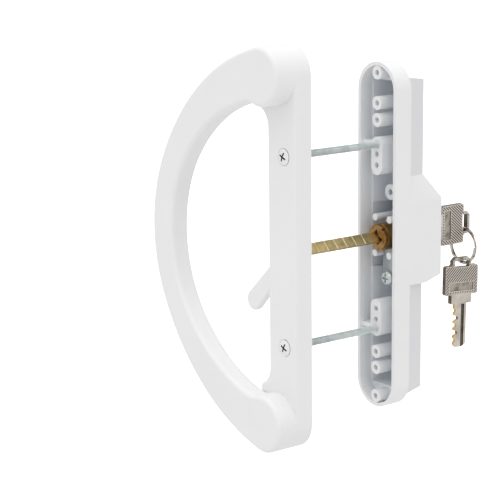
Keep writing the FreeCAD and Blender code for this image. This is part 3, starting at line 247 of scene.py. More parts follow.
class StudioSetup(bpy.types.PropertyGroup):
    """Camera and light of the studio."""

    azimuth: FloatProperty(
        name="Azimuth", description="Turn of the camera about the vertical",
        default=math.radians(53.1), subtype="ANGLE")
    elevation: FloatProperty(
        name="Elevation", description="Height of the camera above the level",
        default=math.radians(12.35), subtype="ANGLE")
    roll: FloatProperty(
        name="Roll", description="Tilt of the camera about its own axis",
        default=math.radians(-0.64), subtype="ANGLE")
    distance: FloatProperty(
        name="Distance", description="From the camera to the point that it looks at",
        default=0.955, unit="LENGTH")
    lens: FloatProperty(
        name="Lens", description="Focal length in mm on a sensor 36 mm wide", default=122.4)
    world_light: FloatProperty(
        name="World light", description="Strength of the light from all round", default=1.0)
    floor_drop: FloatProperty(
        name="Floor drop", description="How far the floor lies below the handles",
        default=0.12, unit="LENGTH")


def finishes():
    """The colours now set."""
    return bpy.context.scene.handle_finishes


def sizes():
    """The fine sizes now set."""
    return bpy.context.scene.handle_sizes


def linear(text):
    """An sRGB hex colour as linear red, green, blue and one for alpha."""
    parts = [int(text[place:place + 2], 16) / 255 for place in (1, 3, 5)]
    bent = [part / 12.92 if part <= 0.04045 else ((part + 0.055) / 1.055) ** 2.4
            for part in parts]
    return bent + [1.0]


def darker(text, share):
    """The same colour with its light reduced to a share."""
    return [part * share for part in linear(text)[:3]] + [1.0]


def per_length(millimetres):
    """The scale of a pattern whose features are this far apart."""
    return 1 / (millimetres * MM)


def new_material(name):
    """An empty node material with its output, and the tree to fill."""
    material = bpy.data.materials.new(name)
    material.use_nodes = True
    tree = material.node_tree
    tree.nodes.clear()
    return material, tree


def add(tree, kind, settings=None, feeds=None):
    """One node with its settings, its fixed inputs and what feeds its other inputs."""
    node = tree.nodes.new(kind)
    for name, value in (settings or {}).items():
        if isinstance(name, int) or name in node.inputs:
            node.inputs[name].default_value = value
        else:
            setattr(node, name, value)
    for name, source in (feeds or {}).items():
        tree.links.new(source, node.inputs[name])
    return node


def add_ramp(tree, source, stops):
    """A colour ramp with a stop for each place and colour."""
    ramp = add(tree, "ShaderNodeValToRGB", feeds={"Fac": source})
    points = ramp.color_ramp.elements
    while len(points) < len(stops):
        points.new(0.5)
    for point, (place, colour) in zip(points, stops):
        point.position = place
        point.color = colour
    return ramp


def finish_shader(tree, settings, feeds):
    """The surface shader and the material's output."""
    shader = add(tree, "ShaderNodeBsdfPrincipled", settings, feeds)
    add(tree, "ShaderNodeOutputMaterial", feeds={"Surface": shader.outputs["BSDF"]})
    return shader


def enamel_material(name, colour):
    """Baked enamel on a zinc casting: smooth milky white, with the faint peel of sprayed paint."""
    material, tree = new_material(name)
    place = add(tree, "ShaderNodeTexCoord").outputs["Object"]
    cloud = add(tree, "ShaderNodeTexNoise", {"Scale": per_length(ENAMEL_CLOUD), "Detail": 2.0},
                {"Vector": place})
    tint = add_ramp(tree, cloud.outputs["Fac"],
                    [(0.35, darker(colour, 0.985)), (0.65, linear(colour))])
    peel = add(tree, "ShaderNodeTexNoise", {"Scale": per_length(ENAMEL_PEEL), "Detail": 2.0},
               {"Vector": place})
    grain = add(tree, "ShaderNodeTexNoise", {"Scale": per_length(ENAMEL_GRAIN), "Detail": 3.0},
                {"Vector": place})
    gloss = add(tree, "ShaderNodeMapRange", {"To Min": 0.36, "To Max": 0.48},
                {"Value": grain.outputs["Fac"]})
    bump = add(tree, "ShaderNodeBump", {"Strength": 0.25, "Distance": FINE_RELIEF},
               {"Height": peel.outputs["Fac"]})
    finish_shader(tree, {"IOR": 1.5, "Coat Weight": 0.15, "Coat Roughness": 0.2}, {
        "Base Color": tint.outputs["Color"], "Roughness": gloss.outputs["Result"],
        "Normal": bump.outputs["Normal"]})
    return material


def enamel_with_painted_depth_shade(name, colour, deep):
    """The same enamel in a hollow, with painted shade: lighter at the mouth, darker and greyer
    towards the bottom.
    """
    material, tree = new_material(name)
    place = add(tree, "ShaderNodeTexCoord").outputs["Object"]
    parts = add(tree, "ShaderNodeSeparateXYZ", feeds={"Vector": place})
    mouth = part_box("outside_handle")[0].y
    depth = add(tree, "ShaderNodeMapRange",
                {"From Min": mouth + PAINTED_SHADE_START, "From Max": mouth + PAINTED_SHADE_END},
                {"Value": parts.outputs["Y"]})
    # Painted shade: lighter at the mouth, darker and greyer towards the bottom of the hollow
    tint = add_ramp(tree, depth.outputs["Result"], [(0.0, linear(colour)), (1.0, linear(deep))])
    spray = add(tree, "ShaderNodeTexNoise", {"Scale": per_length(OVERSPRAY_GRAIN), "Detail": 2.0},
                {"Vector": place})
    bump = add(tree, "ShaderNodeBump", {"Strength": 0.25, "Distance": FINE_RELIEF},
               {"Height": spray.outputs["Fac"]})
    finish_shader(tree, {"IOR": 1.5, "Roughness": 0.5}, {
        "Base Color": tint.outputs["Color"], "Normal": bump.outputs["Normal"]})
    return material


def plated_material(name, colour, shade, patch, roughness, scratch):
    """Plated or passivated metal: cloudy tints of the bath, fine scratches that catch the light."""
    material, tree = new_material(name)
    place = add(tree, "ShaderNodeTexCoord").outputs["Object"]
    cloud = add(tree, "ShaderNodeTexNoise", {"Scale": per_length(patch), "Detail": 4.0},
                {"Vector": place})
    tint = add_ramp(tree, cloud.outputs["Fac"], [(0.3, linear(shade)), (0.55, linear(colour))])
    squeeze = add(tree, "ShaderNodeMapping", {"Scale": SCRATCH_SQUEEZE}, {"Vector": place})
    lines = add(tree, "ShaderNodeTexNoise", {"Scale": per_length(scratch), "Detail": 6.0},
                {"Vector": squeeze.outputs["Vector"]})
    gloss = add(tree, "ShaderNodeMapRange", {"To Min": roughness[0], "To Max": roughness[1]},
                {"Value": lines.outputs["Fac"]})
    bump = add(tree, "ShaderNodeBump", {"Strength": 0.3, "Distance": FINE_RELIEF},
               {"Height": lines.outputs["Fac"]})
    finish_shader(tree, {"Metallic": 1.0}, {
        "Base Color": tint.outputs["Color"], "Roughness": gloss.outputs["Result"],
        "Normal": bump.outputs["Normal"]})
    return material


def hatched_nickel_material(name, colour, shade):
    """Rolled hatching on a nickel bow: ridges polished by pockets, grooves darkened with painted
    shade.
    """
    material, tree = new_material(name)
    place = add(tree, "ShaderNodeUVMap", {"uv_map": "along_key"}).outputs["UV"]
    turned = add(tree, "ShaderNodeMapping", {"Rotation": (0.0, 0.0, HATCH_SLANT)},
                 {"Vector": place})
    # The wave texture repeats every tenth of pi at a scale of one
    wave = add(tree, "ShaderNodeTexWave", {"Scale": math.pi / 10 / sizes().hatch_pitch},
               {"Vector": turned.outputs["Vector"]})
    # Painted shade: the grooves of the hatching are dark, the ridges light
    tint = add_ramp(tree, wave.outputs["Fac"], [(0.25, linear(shade)), (0.6, linear(colour))])
    wear = add(tree, "ShaderNodeTexNoise", {"Scale": per_length(POCKET_WEAR), "Detail": 3.0},
               {"Vector": place})
    gloss = add(tree, "ShaderNodeMapRange", {"To Min": 0.26, "To Max": 0.42},
                {"Value": wear.outputs["Fac"]})
    bump = add(tree, "ShaderNodeBump", {"Strength": 0.9, "Distance": HATCH_RELIEF},
               {"Height": wave.outputs["Fac"]})
    finish_shader(tree, {"Metallic": 1.0}, {
        "Base Color": tint.outputs["Color"], "Roughness": gloss.outputs["Result"],
        "Normal": bump.outputs["Normal"]})
    return material


def matte_material(name, colour):
    """The dark inside of a driver recess, painted shade, with spots of varying gloss."""
    material, tree = new_material(name)
    place = add(tree, "ShaderNodeTexCoord").outputs["Object"]
    spots = add(tree, "ShaderNodeTexNoise", {"Scale": per_length(RECESS_GLOSS_SPOTS), "Detail": 2.0},
                {"Vector": place})
    gloss = add(tree, "ShaderNodeMapRange", {"To Min": 0.5, "To Max": 0.75},
                {"Value": spots.outputs["Fac"]})
    finish_shader(tree, {"Base Color": linear(colour), "Metallic": 0.3},
                  {"Roughness": gloss.outputs["Result"]})
    return material


MATERIALS = {}


def material(kind):
    """The finish of that name, made when a piece first asks for it."""
    if kind not in MATERIALS:
        hues = finishes()
        recipes = {
            "white_enamel": lambda: enamel_material("baked_white_enamel", hues.enamel),
            # Painted shade: the hollow's enamel darkens and greys towards the bottom
            "shaded_hollow_enamel": lambda: enamel_with_painted_depth_shade(
                "hollow_enamel_painted_shade", hues.shaded_hollow_enamel, hues.painted_hollow_shade),
            # Painted shade: the step's sides are a darker copy of the enamel
            "step_painted_shade": lambda: enamel_material("step_enamel_painted_shade", hues.step_painted_shade),
            "dull_zinc": lambda: plated_material(
                "dull_zinc_plate", hues.dull_zinc, hues.zinc_shade, 6.0, (0.45, 0.6), 0.5),
            "scored_zinc": lambda: plated_material(
                "scored_bright_zinc", hues.scored_zinc, hues.yellow_zinc, 3.0, (0.25, 0.35), 0.3),
            "zinc": lambda: plated_material(
                "bright_zinc_plate", hues.zinc, hues.zinc_shade, 6.0, (0.25, 0.4), 0.5),
            "yellow_zinc": lambda: plated_material(
                "yellow_passivated_zinc", hues.yellow_zinc, hues.yellow_zinc_tint, 5.0,
                (0.3, 0.45), 0.4),
            "brass": lambda: plated_material(
                "turned_brass", hues.brass, hues.brass_shade, 4.0, (0.3, 0.5), 0.4),
            "cut_brass": lambda: plated_material(
                "milled_brass", hues.cut_brass, hues.brass, 2.0, (0.22, 0.4), 0.3),
            "nickel": lambda: plated_material(
                "nickel_plate", hues.nickel, hues.nickel_shade, 9.0, (0.18, 0.34), 0.6),
            # Painted shade in the grooves of the hatching
            "hatched_nickel": lambda: hatched_nickel_material(
                "hatched_nickel", hues.nickel, hues.key_painted_shade),
            # Painted shade: dark nickel on the keys' edges and grooves
            "nickel_painted_shade": lambda: plated_material(
                "nickel_edge_painted_shade", hues.key_edge_painted_shade, hues.key_painted_shade, 5.0, (0.3, 0.5), 0.4),
            "panel_nickel": lambda: plated_material(
                "dull_nickel_panel", hues.nickel_shade, hues.key_edge_painted_shade, 5.0, (0.3, 0.45), 0.4),
            # Painted reflection: dark patches along the wire stand in for reflections
            "ring_nickel_painted_reflection": lambda: plated_material(
                "nickel_wire_painted_reflection", hues.nickel, hues.key_painted_shade, 3.5, (0.2, 0.35), 0.6),
            # Painted shade: the dark inside of the cross recesses
            "recess": lambda: matte_material("painted_recess_shade", hues.recess_painted_shade),
        }
        MATERIALS[kind] = recipes[kind]()
    return MATERIALS[kind]


def body_of(node):
    """The body that carries a node."""
    for body, members in frame["record"]["behaviour"]["bodies"].items():
        if node in members:
            return body
    raise RuntimeError("no body holds " + node)


def paint_node(node, kind):
    """Give a node that stays as it is its finish."""
    data = frame["nodes"][node].data
    data.materials.clear()
    data.materials.append(material(kind))


def solid_of(node, sort=None):
    """A merged copy of a node's mesh, its faces sorted by finish where a function says how."""
    form = bmesh.new()
    form.from_mesh(frame["nodes"][node].data)
    for layer in list(form.loops.layers.uv):
        form.loops.layers.uv.remove(layer)
    bmesh.ops.remove_doubles(form, verts=form.verts, dist=MERGE_GAP)
    form.normal_update()
    for face in form.faces:
        face.material_index = 0
    if sort:
        sort(form)
    return form


def soften(obj, width, segments=2, angle=35):
    """Round the sharp edges of a piece and let its flats shade flat."""
    bevel = obj.modifiers.new("soft_edges", "BEVEL")
    bevel.width = width
    bevel.segments = segments
    bevel.limit_method = "ANGLE"
    bevel.angle_limit = math.radians(angle)
    bevel.use_clamp_overlap = True
    bevel.miter_outer = "MITER_ARC"
    weigh = obj.modifiers.new("flat_faces", "WEIGHTED_NORMAL")
    weigh.keep_sharp = True
    weigh.weight = 80


def make_piece(form, name, kinds, nodes, sharp=40):
    """Turn a worked mesh into a piece that stands for CAD nodes and rides with their body."""
    mesh = bpy.data.meshes.new(name)
    form.to_mesh(mesh)
    form.free()
    for kind in kinds:
        mesh.materials.append(material(kind))
    for face in mesh.polygons:
        face.use_smooth = True
    mesh.set_sharp_from_angle(angle=math.radians(sharp))
    obj = bpy.data.objects.new(name, mesh)
    bpy.context.scene.collection.objects.link(obj)
    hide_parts(*nodes)
    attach(obj, body_of(nodes[0]))
    return obj


class DOORHANDLE_OT_enamel_castings(bpy.types.Operator):
    """Finish the room handle, the thumb lever and the outer pull in white enamel"""

    bl_idname = "door_handle.enamel_castings"
    bl_label = "Enamel the castings"

    def execute(self, context):
        obj = make_piece(solid_of("inside_handle"), "room_handle_casting", ["white_enamel"],
                         ["inside_handle"])
        soften(obj, sizes().casting_edge, 3)
        paint_node("thumb_lever", "white_enamel")
        form = solid_of("outside_handle", self.sort_hollow)
        obj = make_piece(form, "outer_pull_casting", ["white_enamel", "shaded_hollow_enamel", "step_painted_shade"],
                         ["outside_handle"])
        soften(obj, sizes().casting_edge, 3)
        return {"FINISHED"}

    def sort_hollow(self, form):
        """Mark the hollow's faces, which look away from the casting's floor, for the painted depth
        shade, and the step's sides for a darker copy of the enamel, painted shade.
        """
        tree = BVHTree.FromBMesh(form)
        low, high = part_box("outside_handle")
        straight = high.z - high.x
        for face in form.faces:
            centre = face.calc_center_median()
            covered = tree.ray_cast(centre + face.normal * 0.05 * MM, DOOR_AXIS)[0] is not None
            beyond = max(abs(centre.z) - straight, 0.0)
            reach = math.hypot(centre.x, beyond)
            behind_mouth = centre.y > low.y + 0.1 * MM
            on_step = centre.y > low.y + STEP_LEVEL and abs(centre.x) < high.x - 0.2 * MM
            sideways = abs(face.normal.x) > 0.5 and abs(face.normal.z) < 0.04
            if covered and behind_mouth and reach < high.x - PULL_WALL:
                # Faces in the hollow take the enamel with painted depth shade
                face.material_index = 1
            elif not covered and on_step and sideways:
                # The step's sides take the darker copy of the enamel, painted shade
                face.material_index = 2


def thread_ridge(form, radius, start, end):
    """A sharp ridge that winds along the door axis between two levels."""
    pitch = sizes().thread_pitch
    depth = sizes().thread_depth
    turns = (end - start) / pitch
    root = radius - depth - FLAT_ROOM
    crest = radius - THREAD_INSET
    corners = [(root, -THREAD_FOOT * pitch), (crest, -THREAD_CREST * pitch),
               (crest, THREAD_CREST * pitch), (root, THREAD_FOOT * pitch)]
    verts = [form.verts.new((across, start + along, 0.0)) for across, along in corners]
    face = form.faces.new(verts)
    count = int(turns * THREAD_STEPS)
    bmesh.ops.spin(form, geom=[face], cent=(0.0, 0.0, 0.0), axis=DOOR_AXIS,
                   dvec=DOOR_AXIS * (pitch / THREAD_STEPS),
                   angle=2 * math.pi * count / THREAD_STEPS, steps=count,
                   use_merge=False, use_duplicate=False)


def draw_out(form, ring, radius, level, finish):
    """Extrude a ring of edges to another radius and level, and give the new ring."""
    made = bmesh.ops.extrude_edge_only(form, edges=ring)["geom"]
    verts = [item for item in made if isinstance(item, bmesh.types.BMVert)]
    share = radius / verts[0].co.xz.length
    bmesh.ops.scale(form, verts=verts, vec=(share, 1.0, share))
    bmesh.ops.translate(form, verts=verts, vec=(0.0, level - verts[0].co.y, 0.0))
    for item in made:
        if isinstance(item, bmesh.types.BMFace):
            item.material_index = finish
    chosen = set(verts)
    return [edge for edge in form.edges if edge.verts[0] in chosen and edge.verts[1] in chosen]


class DOORHANDLE_OT_thread_screws(bpy.types.Operator):
    """Cut the threads of the two long screws and paint their heads"""

    bl_idname = "door_handle.thread_screws"
    bl_label = "Thread the long screws"

    def execute(self, context):
        for node in ("upper_mounting_screw", "lower_mounting_screw"):
            self.make_screw(node)
        return {"FINISHED"}

    def make_screw(self, node):
        """One screw, drawn out ring by ring from its cross recess to its tip."""
        low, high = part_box(node)
        height = (low.z + high.z) / 2
        places = [vert.co for vert in frame["nodes"][node].data.vertices]
        head = high.x
        seat = max(place.y for place in places if place.x > head - 0.01 * MM)
        shank = max(place.x for place in places if place.y > 0.0)
        neck = seat + head - shank
        form = bmesh.new()
        ring = self.crown(form, low.y, seat, head - sizes().head_gap)
        root = shank - sizes().thread_depth
        ring = draw_out(form, ring, shank, neck, 0)
        ring = draw_out(form, ring, root, neck + sizes().thread_pitch / 2, 0)
        ring = draw_out(form, ring, root, high.y - shank / 2, 0)
        ring = draw_out(form, ring, shank / 2, high.y, 0)
        bmesh.ops.contextual_create(form, geom=ring)
        thread_ridge(form, shank, neck + sizes().thread_pitch, high.y - shank / 2)
        bmesh.ops.recalc_face_normals(form, faces=form.faces)
        bmesh.ops.rotate(form, verts=form.verts, cent=(0, 0, 0),
                         matrix=Matrix.Rotation(RECESS_TURN, 3, "Y"))
        bmesh.ops.translate(form, verts=form.verts, vec=(0.0, 0.0, height))
        make_piece(form, node + "_threaded", ["zinc", "white_enamel", "recess"], [node], sharp=25)

    def crown(self, form, top, seat, head):
        """The domed head with its cross recess; gives the ring of edges at the head's rim."""
        arm = sizes().recess_arm / 2
        reach = (sizes().recess_span - sizes().recess_arm) / 2
        bmesh.ops.create_grid(form, x_segments=1, y_segments=1, size=arm,
                              matrix=Matrix.Rotation(QUARTER_TURN, 4, "X"))
        for edge in form.edges[:]:
            way = (edge.verts[0].co + edge.verts[1].co).normalized()
            made = bmesh.ops.extrude_edge_only(form, edges=[edge])["geom"]
            bmesh.ops.translate(form, vec=way * reach,
                                verts=[item for item in made if isinstance(item, bmesh.types.BMVert)])
        bmesh.ops.translate(form, verts=form.verts, vec=(0.0, top + sizes().recess_depth, 0.0))
        mouth = [edge for edge in form.edges if edge.is_boundary]
        made = bmesh.ops.extrude_edge_only(form, edges=mouth)["geom"]
        upper = [item for item in made if isinstance(item, bmesh.types.BMVert)]
        bmesh.ops.scale(form, verts=upper, vec=(RECESS_FLARE, 1.0, RECESS_FLARE))
        # The recess's faces take the dark recess colour, painted shade
        for face in form.faces:
            face.material_index = 2
        lip = [edge for edge in form.edges if edge.verts[0] in upper and edge.verts[1] in upper]
        circle = bmesh.ops.create_circle(form, segments=HEAD_SIDES, radius=head * CROWN_SHARE,
                                         matrix=Matrix.Rotation(QUARTER_TURN, 4, "X"))["verts"]
        ring = [edge for edge in form.edges if edge.verts[0] in circle and edge.verts[1] in circle]
        for vert in upper + circle:
            vert.co.y = self.dome_level(vert.co.xz.length, top, seat, head)
        filled = bmesh.ops.triangle_fill(form, use_beauty=True, edges=lip + ring)["geom"]
        for face in filled:
            if isinstance(face, bmesh.types.BMFace):
                face.material_index = 1
        for share in CROWN_RINGS:
            ring = draw_out(form, ring, head * share,
                            self.dome_level(head * share, top, seat, head), 1)
        return ring

    def dome_level(self, reach, top, seat, head):
        """How far along the door axis the dome lies at a distance from its middle."""
        rise = seat - top
        bend = (head ** 2 + rise ** 2) / (2 * rise)
        return top + bend - math.sqrt(bend ** 2 - reach ** 2)


class DOORHANDLE_OT_plate_fasteners(bpy.types.Operator):
    """Finish the small screws, the plates and the springs in zinc"""

    bl_idname = "door_handle.plate_fasteners"
    bl_label = "Plate the small fasteners"

    def execute(self, context):
        for node in ("lever_seat_plate", "upper_seat_screw", "lower_seat_screw",
                     "cylinder_clamp_plate", "cylinder_clamp_screw"):
            finish = "dull_zinc" if node.endswith("plate") else "zinc"
            obj = make_piece(solid_of(node), node + "_plated", [finish], [node])
            soften(obj, sizes().metal_edge)
        for node in frame["nodes"]:
            if node.startswith("wafer_spring"):
                paint_node(node, "zinc")
        return {"FINISHED"}


class DOORHANDLE_OT_passivate_tailpiece(bpy.types.Operator):
    """Finish the scored tailpiece in yellow passivated zinc"""

    bl_idname = "door_handle.passivate_tailpiece"
    bl_label = "Passivate the tailpiece"

    def execute(self, context):
        obj = make_piece(solid_of("tailpiece", self.sort_scores), "tailpiece_passivated",
                         ["yellow_zinc", "scored_zinc"], ["tailpiece"])
        soften(obj, sizes().metal_edge)
        return {"FINISHED"}

    def sort_scores(self, form):
        """Mark the floors and walls of the score lines, which lie below the bar's flats."""
        broad = max(form.faces, key=lambda item: item.calc_area()).normal.copy()
        half = max(vert.co.dot(broad) for vert in form.verts)
        ends = [vert.co.y for vert in form.verts]
        for face in form.faces:
            spot = face.calc_center_median()
            sunk = abs(spot.dot(broad)) < half - FLAT_ROOM and spot.y > min(ends) + 1.0 * MM
            flat = abs(face.normal.dot(broad)) > 0.9 or abs(face.normal.y) > 0.9
            face.material_index = 1 if sunk and flat and spot.y < max(ends) - 0.1 * MM else 0


class DOORHANDLE_OT_turn_cylinder(bpy.types.Operator):
    """Finish the key cylinder and its wafers in turned brass"""

    bl_idname = "door_handle.turn_cylinder"
    bl_label = "Turn the cylinder"

    def execute(self, context):
        for node in ("cylinder_sleeve", "cylinder_plug", "plug_end_cap"):
            obj = make_piece(solid_of(node), node + "_turned", ["brass"], [node])
            soften(obj, sizes().metal_edge)
        for node in frame["nodes"]:
            if node.startswith("wafer_") and not node.startswith("wafer_spring"):
                paint_node(node, "brass")
        return {"FINISHED"}


def key_directions(form):
    """Unit vectors along a key towards its bow, across it and through it."""
    edge = max(form.edges, key=lambda item: item.calc_length())
    along = (edge.verts[1].co - edge.verts[0].co).normalized()
    if along.y + along.z < 0:
        along.negate()
    through = max(form.faces, key=lambda item: item.calc_area()).normal.copy()
    return along, through.cross(along), through


def middle_of(form, direction):
    """Half way between a form's two ends in a direction."""
    places = [vert.co.dot(direction) for vert in form.verts]
    return (min(places) + max(places)) / 2


class DOORHANDLE_OT_plate_keys(bpy.types.Operator):
    """Finish both keys in nickel with hatched bows and bare brass cuts"""

    bl_idname = "door_handle.plate_keys"
    bl_label = "Plate the keys"

    def execute(self, context):
        self.make_key("lock_key", False)
        self.make_key("spare_key", True)
        return {"FINISHED"}

    def make_key(self, node, turned):
        """One key, turned half round its own length where its cuts face the room."""
        form = solid_of(node)
        along, across, through = key_directions(form)
        centre = across * middle_of(form, across) + through * middle_of(form, through)
        if turned:
            bmesh.ops.rotate(form, verts=form.verts, cent=centre,
                             matrix=Matrix.Rotation(math.pi, 3, along))
            form.normal_update()
        self.bare_cuts(form, centre, along, across, through)
        self.sink_hatching(form, centre, through)
        self.lay_pattern(form, along, across)
        obj = make_piece(form, node + "_plated",
                         ["nickel", "hatched_nickel", "cut_brass", "nickel_painted_shade",
                          "panel_nickel"], [node])
        soften(obj, sizes().metal_edge)

    def sink_hatching(self, form, centre, through):
        """Sink the two flats of the bow inside a plain rim."""
        flats = {}
        for face in form.faces:
            if abs(face.normal.dot(through)) > 0.999:
                offset = abs((face.calc_center_median() - centre).dot(through))
                flats.setdefault(round(offset / FLAT_ROOM), []).append(face)
        bow = max(flats.values(), key=lambda faces: sum(face.calc_area() for face in faces))
        for side in (1, -1):
            region = [face for face in bow if face.normal.dot(through) * side > 0]
            bmesh.ops.inset_region(form, faces=region, thickness=sizes().bow_rim,
                                   depth=-sizes().bow_sink, use_even_offset=True, use_boundary=True)
            for face in region:
                face.material_index = 1

    def bare_cuts(self, form, centre, along, across, through):
        """Mark the milled edge of the blade in bare brass, the bow's sunk panels, and give the
        grooves and the stamped edges of blade and bow painted shade.
        """
        tip = min(vert.co.dot(along) for vert in form.verts)
        side = self.cut_side(form, centre, along, across)
        skin = max(abs((vert.co - centre).dot(through)) for vert in form.verts
                   if vert.co.dot(along) < tip + sizes().blade_length / 2)
        thick = max(abs((vert.co - centre).dot(through)) for vert in form.verts)
        for face in form.faces:
            spot = face.calc_center_median()
            outward = abs(face.normal.dot(through))
            if spot.dot(along) > tip + sizes().blade_length + SHOULDER_LENGTH:
                sunk = skin < abs((spot - centre).dot(through)) < thick - PANEL_DEPTH
                # The bow's stamped edges get painted shade, its sunk panels dull nickel
                face.material_index = 3 if outward < 0.3 else 4 if sunk else 0
            elif outward < 0.3 and (spot - centre).dot(across) * side > EDGE_REACH:
                # Cut edges are bare brass; the uncut edges get painted shade
                cut = spot.dot(along) < tip + sizes().blade_length - 0.1 * MM
                face.material_index = 2 if cut else 3
            elif abs((spot - centre).dot(through)) < skin - GROOVE_DEPTH:
                # The blade's grooves get painted shade
                face.material_index = 3

    def cut_side(self, form, centre, along, across):
        """1 or -1: the side across the blade on which more corners lie."""
        tip = min(vert.co.dot(along) for vert in form.verts)
        near = [(vert.co - centre).dot(across) for vert in form.verts
                if tip + 2.5 * MM < vert.co.dot(along) < tip + sizes().blade_length - 1.0 * MM]
        return 1 if sum(1 for place in near if place > 1.0 * MM) > len(near) / 2 else -1

    def lay_pattern(self, form, along, across):
        """Coordinates in metres along and across the key, for the hatching."""
        layer = form.loops.layers.uv.new("along_key")
        for face in form.faces:
            for loop in face.loops:
                loop[layer].uv = (loop.vert.co.dot(across), loop.vert.co.dot(along))


class DOORHANDLE_OT_coil_ring(bpy.types.Operator):
    """Coil the split ring that joins the keys"""

    bl_idname = "door_handle.coil_ring"
    bl_label = "Coil the key ring"

    def execute(self, context):
        low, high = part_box("key_ring")
        wire = high.y - low.y
        middle = (low + high) / 2
        outer = (high.z - low.z) / 2
        steps = sizes().ring_steps
        count = int(steps * sizes().ring_turns)
        rise = wire / 2 / steps * WIRE_SLACK
        form = bmesh.new()
        made = bmesh.ops.create_circle(form, cap_ends=True, segments=WIRE_SIDES, radius=wire / 2,
                                       matrix=Matrix.Rotation(QUARTER_TURN, 4, "X"))
        bmesh.ops.rotate(form, verts=made["verts"], cent=(0, 0, 0),
                         matrix=Matrix.Rotation(QUARTER_TURN, 3, "X"))
        bmesh.ops.scale(form, verts=made["verts"], vec=WIRE_SECTION)
        start = low.y + wire * 0.25
        bmesh.ops.translate(form, verts=made["verts"],
                            vec=(middle.x + outer - wire / 2, start, middle.z))
        bmesh.ops.spin(form, geom=form.faces[:], cent=middle, axis=DOOR_AXIS,
                       dvec=DOOR_AXIS * rise, angle=2 * math.pi * count / steps, steps=count,
                       use_merge=False, use_duplicate=False)
        bmesh.ops.recalc_face_normals(form, faces=form.faces)
        # The wire's dark patches are painted reflections
        make_piece(form, "split_ring", ["ring_nickel_painted_reflection"], ["key_ring"], sharp=50)
        return {"FINISHED"}


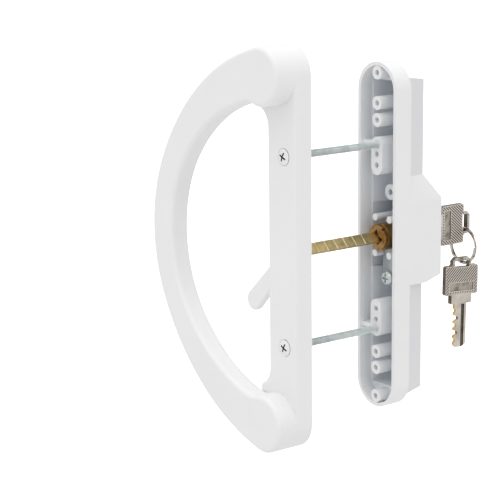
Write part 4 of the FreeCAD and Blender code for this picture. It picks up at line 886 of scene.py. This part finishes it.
class DOORHANDLE_OT_set_studio(bpy.types.Operator):
    """Set the floor, the light and the camera"""

    bl_idname = "door_handle.set_studio"
    bl_label = "Set the studio"

    def execute(self, context):
        studio = context.scene.studio_setup
        context.scene.view_settings.view_transform = "Standard"
        self.lay_floor(studio)
        self.light_world(context, studio)
        self.hang_lamps()
        self.aim_camera(context, studio)
        return {"FINISHED"}

    def lay_floor(self, studio):
        """A wide pale floor below the handles, white where the camera sees it."""
        floor_material, tree = new_material("pale_floor")
        paper = add(tree, "ShaderNodeBsdfDiffuse", {"Color": linear("#E2E2E2")})
        ray = add(tree, "ShaderNodeLightPath").outputs["Is Camera Ray"]
        lift = add(tree, "ShaderNodeMath", {"operation": "MULTIPLY", 1: FLOOR_GLOW}, {0: ray})
        glow = add(tree, "ShaderNodeEmission", feeds={"Strength": lift.outputs["Value"]})
        both = add(tree, "ShaderNodeAddShader",
                   feeds={0: paper.outputs["BSDF"], 1: glow.outputs["Emission"]})
        add(tree, "ShaderNodeOutputMaterial", feeds={"Surface": both.outputs["Shader"]})
        form = bmesh.new()
        bmesh.ops.create_grid(form, x_segments=1, y_segments=1, size=FLOOR_SIZE)
        bmesh.ops.translate(form, verts=form.verts,
                            vec=(0, 0, CAD_BOX[0][2] - studio.floor_drop))
        mesh = bpy.data.meshes.new("pale_floor")
        form.to_mesh(mesh)
        form.free()
        mesh.materials.append(floor_material)
        floor = bpy.data.objects.new("pale_floor", mesh)
        bpy.context.scene.collection.objects.link(floor)

    def light_world(self, context, studio):
        """An even white room, dimmer near the floor, plain white where the camera sees it."""
        world = bpy.data.worlds.new("white_room")
        context.scene.world = world
        world.use_nodes = True
        tree = world.node_tree
        tree.nodes.clear()
        ray = add(tree, "ShaderNodeLightPath").outputs["Is Camera Ray"]
        aim = add(tree, "ShaderNodeTexCoord").outputs["Generated"]
        parts = add(tree, "ShaderNodeSeparateXYZ", feeds={"Vector": aim})
        fade = add(tree, "ShaderNodeMapRange",
                   {"From Min": 0.0, "From Max": WORLD_FADE_TOP,
                    "To Min": WORLD_LOW, "To Max": WORLD_HIGH},
                   {"Value": parts.outputs["Z"]})
        level = add(tree, "ShaderNodeMath", {"operation": "MULTIPLY", 1: studio.world_light},
                    {0: fade.outputs["Result"]})
        seen = add(tree, "ShaderNodeMix", {"data_type": "FLOAT", "B": 1.0},
                   {"Factor": ray, "A": level.outputs["Value"]})
        sky = add(tree, "ShaderNodeBackground", {"Color": linear("#FEFEFF")},
                  {"Strength": seen.outputs["Result"]})
        add(tree, "ShaderNodeOutputWorld", feeds={"Surface": sky.outputs["Background"]})

    def hang_lamps(self):
        """A broad soft panel overhead, and a small one in front that draws a gleam on edges."""
        for name, place, width, power in LAMPS:
            lamp = bpy.data.lights.new(name, "AREA")
            lamp.shape = "SQUARE"
            lamp.size = width
            lamp.energy = power
            obj = bpy.data.objects.new(name, lamp)
            obj.location = place
            obj.rotation_euler = (LAMP_AIM - place).to_track_quat("-Z", "Y").to_euler()
            bpy.context.scene.collection.objects.link(obj)

    def aim_camera(self, context, studio):
        """The camera at the angle at which the handles were photographed."""
        turn, rise, roll = studio.azimuth, studio.elevation, studio.roll
        forward = Vector((-math.sin(turn) * math.cos(rise), math.cos(turn) * math.cos(rise),
                          -math.sin(rise)))
        level = Vector((math.cos(turn), math.sin(turn), 0.0))
        upright = level.cross(forward)
        right = level * math.cos(roll) + upright * math.sin(roll)
        up = right.cross(forward)
        lens = bpy.data.cameras.new("photo_camera")
        lens.lens = studio.lens
        lens.sensor_width = 36.0
        lens.clip_start = 0.05
        lens.clip_end = 30.0
        lens.dof.use_dof = False
        camera = bpy.data.objects.new("photo_camera", lens)
        spin = Matrix((right, up, -forward)).transposed().to_4x4()
        place = CAMERA_AIM - forward * studio.distance
        camera.matrix_world = Matrix.Translation(place) @ spin
        context.scene.collection.objects.link(camera)
        context.scene.camera = camera


class DOORHANDLE_PT_finishes(bpy.types.Panel):
    """The sidebar list of finishes and steps"""

    bl_label = "Door Handle"
    bl_idname = "DOORHANDLE_PT_finishes"
    bl_space_type = "VIEW_3D"
    bl_region_type = "UI"
    bl_category = "Door Handle"

    def draw(self, context):
        for group in (finishes(), sizes(), context.scene.studio_setup):
            box = self.layout.box()
            for name in group.__annotations__:
                box.prop(group, name)
        for step in STEPS:
            self.layout.operator(step.bl_idname)


GROUPS = (
    ("handle_finishes", HandleFinishes),
    ("handle_sizes", HandleSizes),
    ("studio_setup", StudioSetup),
)

STEPS = (
    DOORHANDLE_OT_enamel_castings,
    DOORHANDLE_OT_thread_screws,
    DOORHANDLE_OT_plate_fasteners,
    DOORHANDLE_OT_passivate_tailpiece,
    DOORHANDLE_OT_turn_cylinder,
    DOORHANDLE_OT_plate_keys,
    DOORHANDLE_OT_coil_ring,
    DOORHANDLE_OT_set_studio,
)


def register():
    """Register the property groups, the steps and the panel."""
    for name, group in GROUPS:
        bpy.utils.register_class(group)
        setattr(bpy.types.Scene, name, PointerProperty(type=group))
    for step in STEPS:
        bpy.utils.register_class(step)
    bpy.utils.register_class(DOORHANDLE_PT_finishes)


def unregister():
    """Take everything out again, in the opposite order."""
    bpy.utils.unregister_class(DOORHANDLE_PT_finishes)
    for step in reversed(STEPS):
        bpy.utils.unregister_class(step)
    for name, group in reversed(GROUPS):
        delattr(bpy.types.Scene, name)
        bpy.utils.unregister_class(group)


def main():
    """Run every step in order."""
    register()
    bpy.ops.door_handle.enamel_castings()
    bpy.ops.door_handle.thread_screws()
    bpy.ops.door_handle.plate_fasteners()
    bpy.ops.door_handle.passivate_tailpiece()
    bpy.ops.door_handle.turn_cylinder()
    bpy.ops.door_handle.plate_keys()
    bpy.ops.door_handle.coil_ring()
    bpy.ops.door_handle.set_studio()
    bpy.context.view_layer.update()


if __name__ == "__main__":
    main()
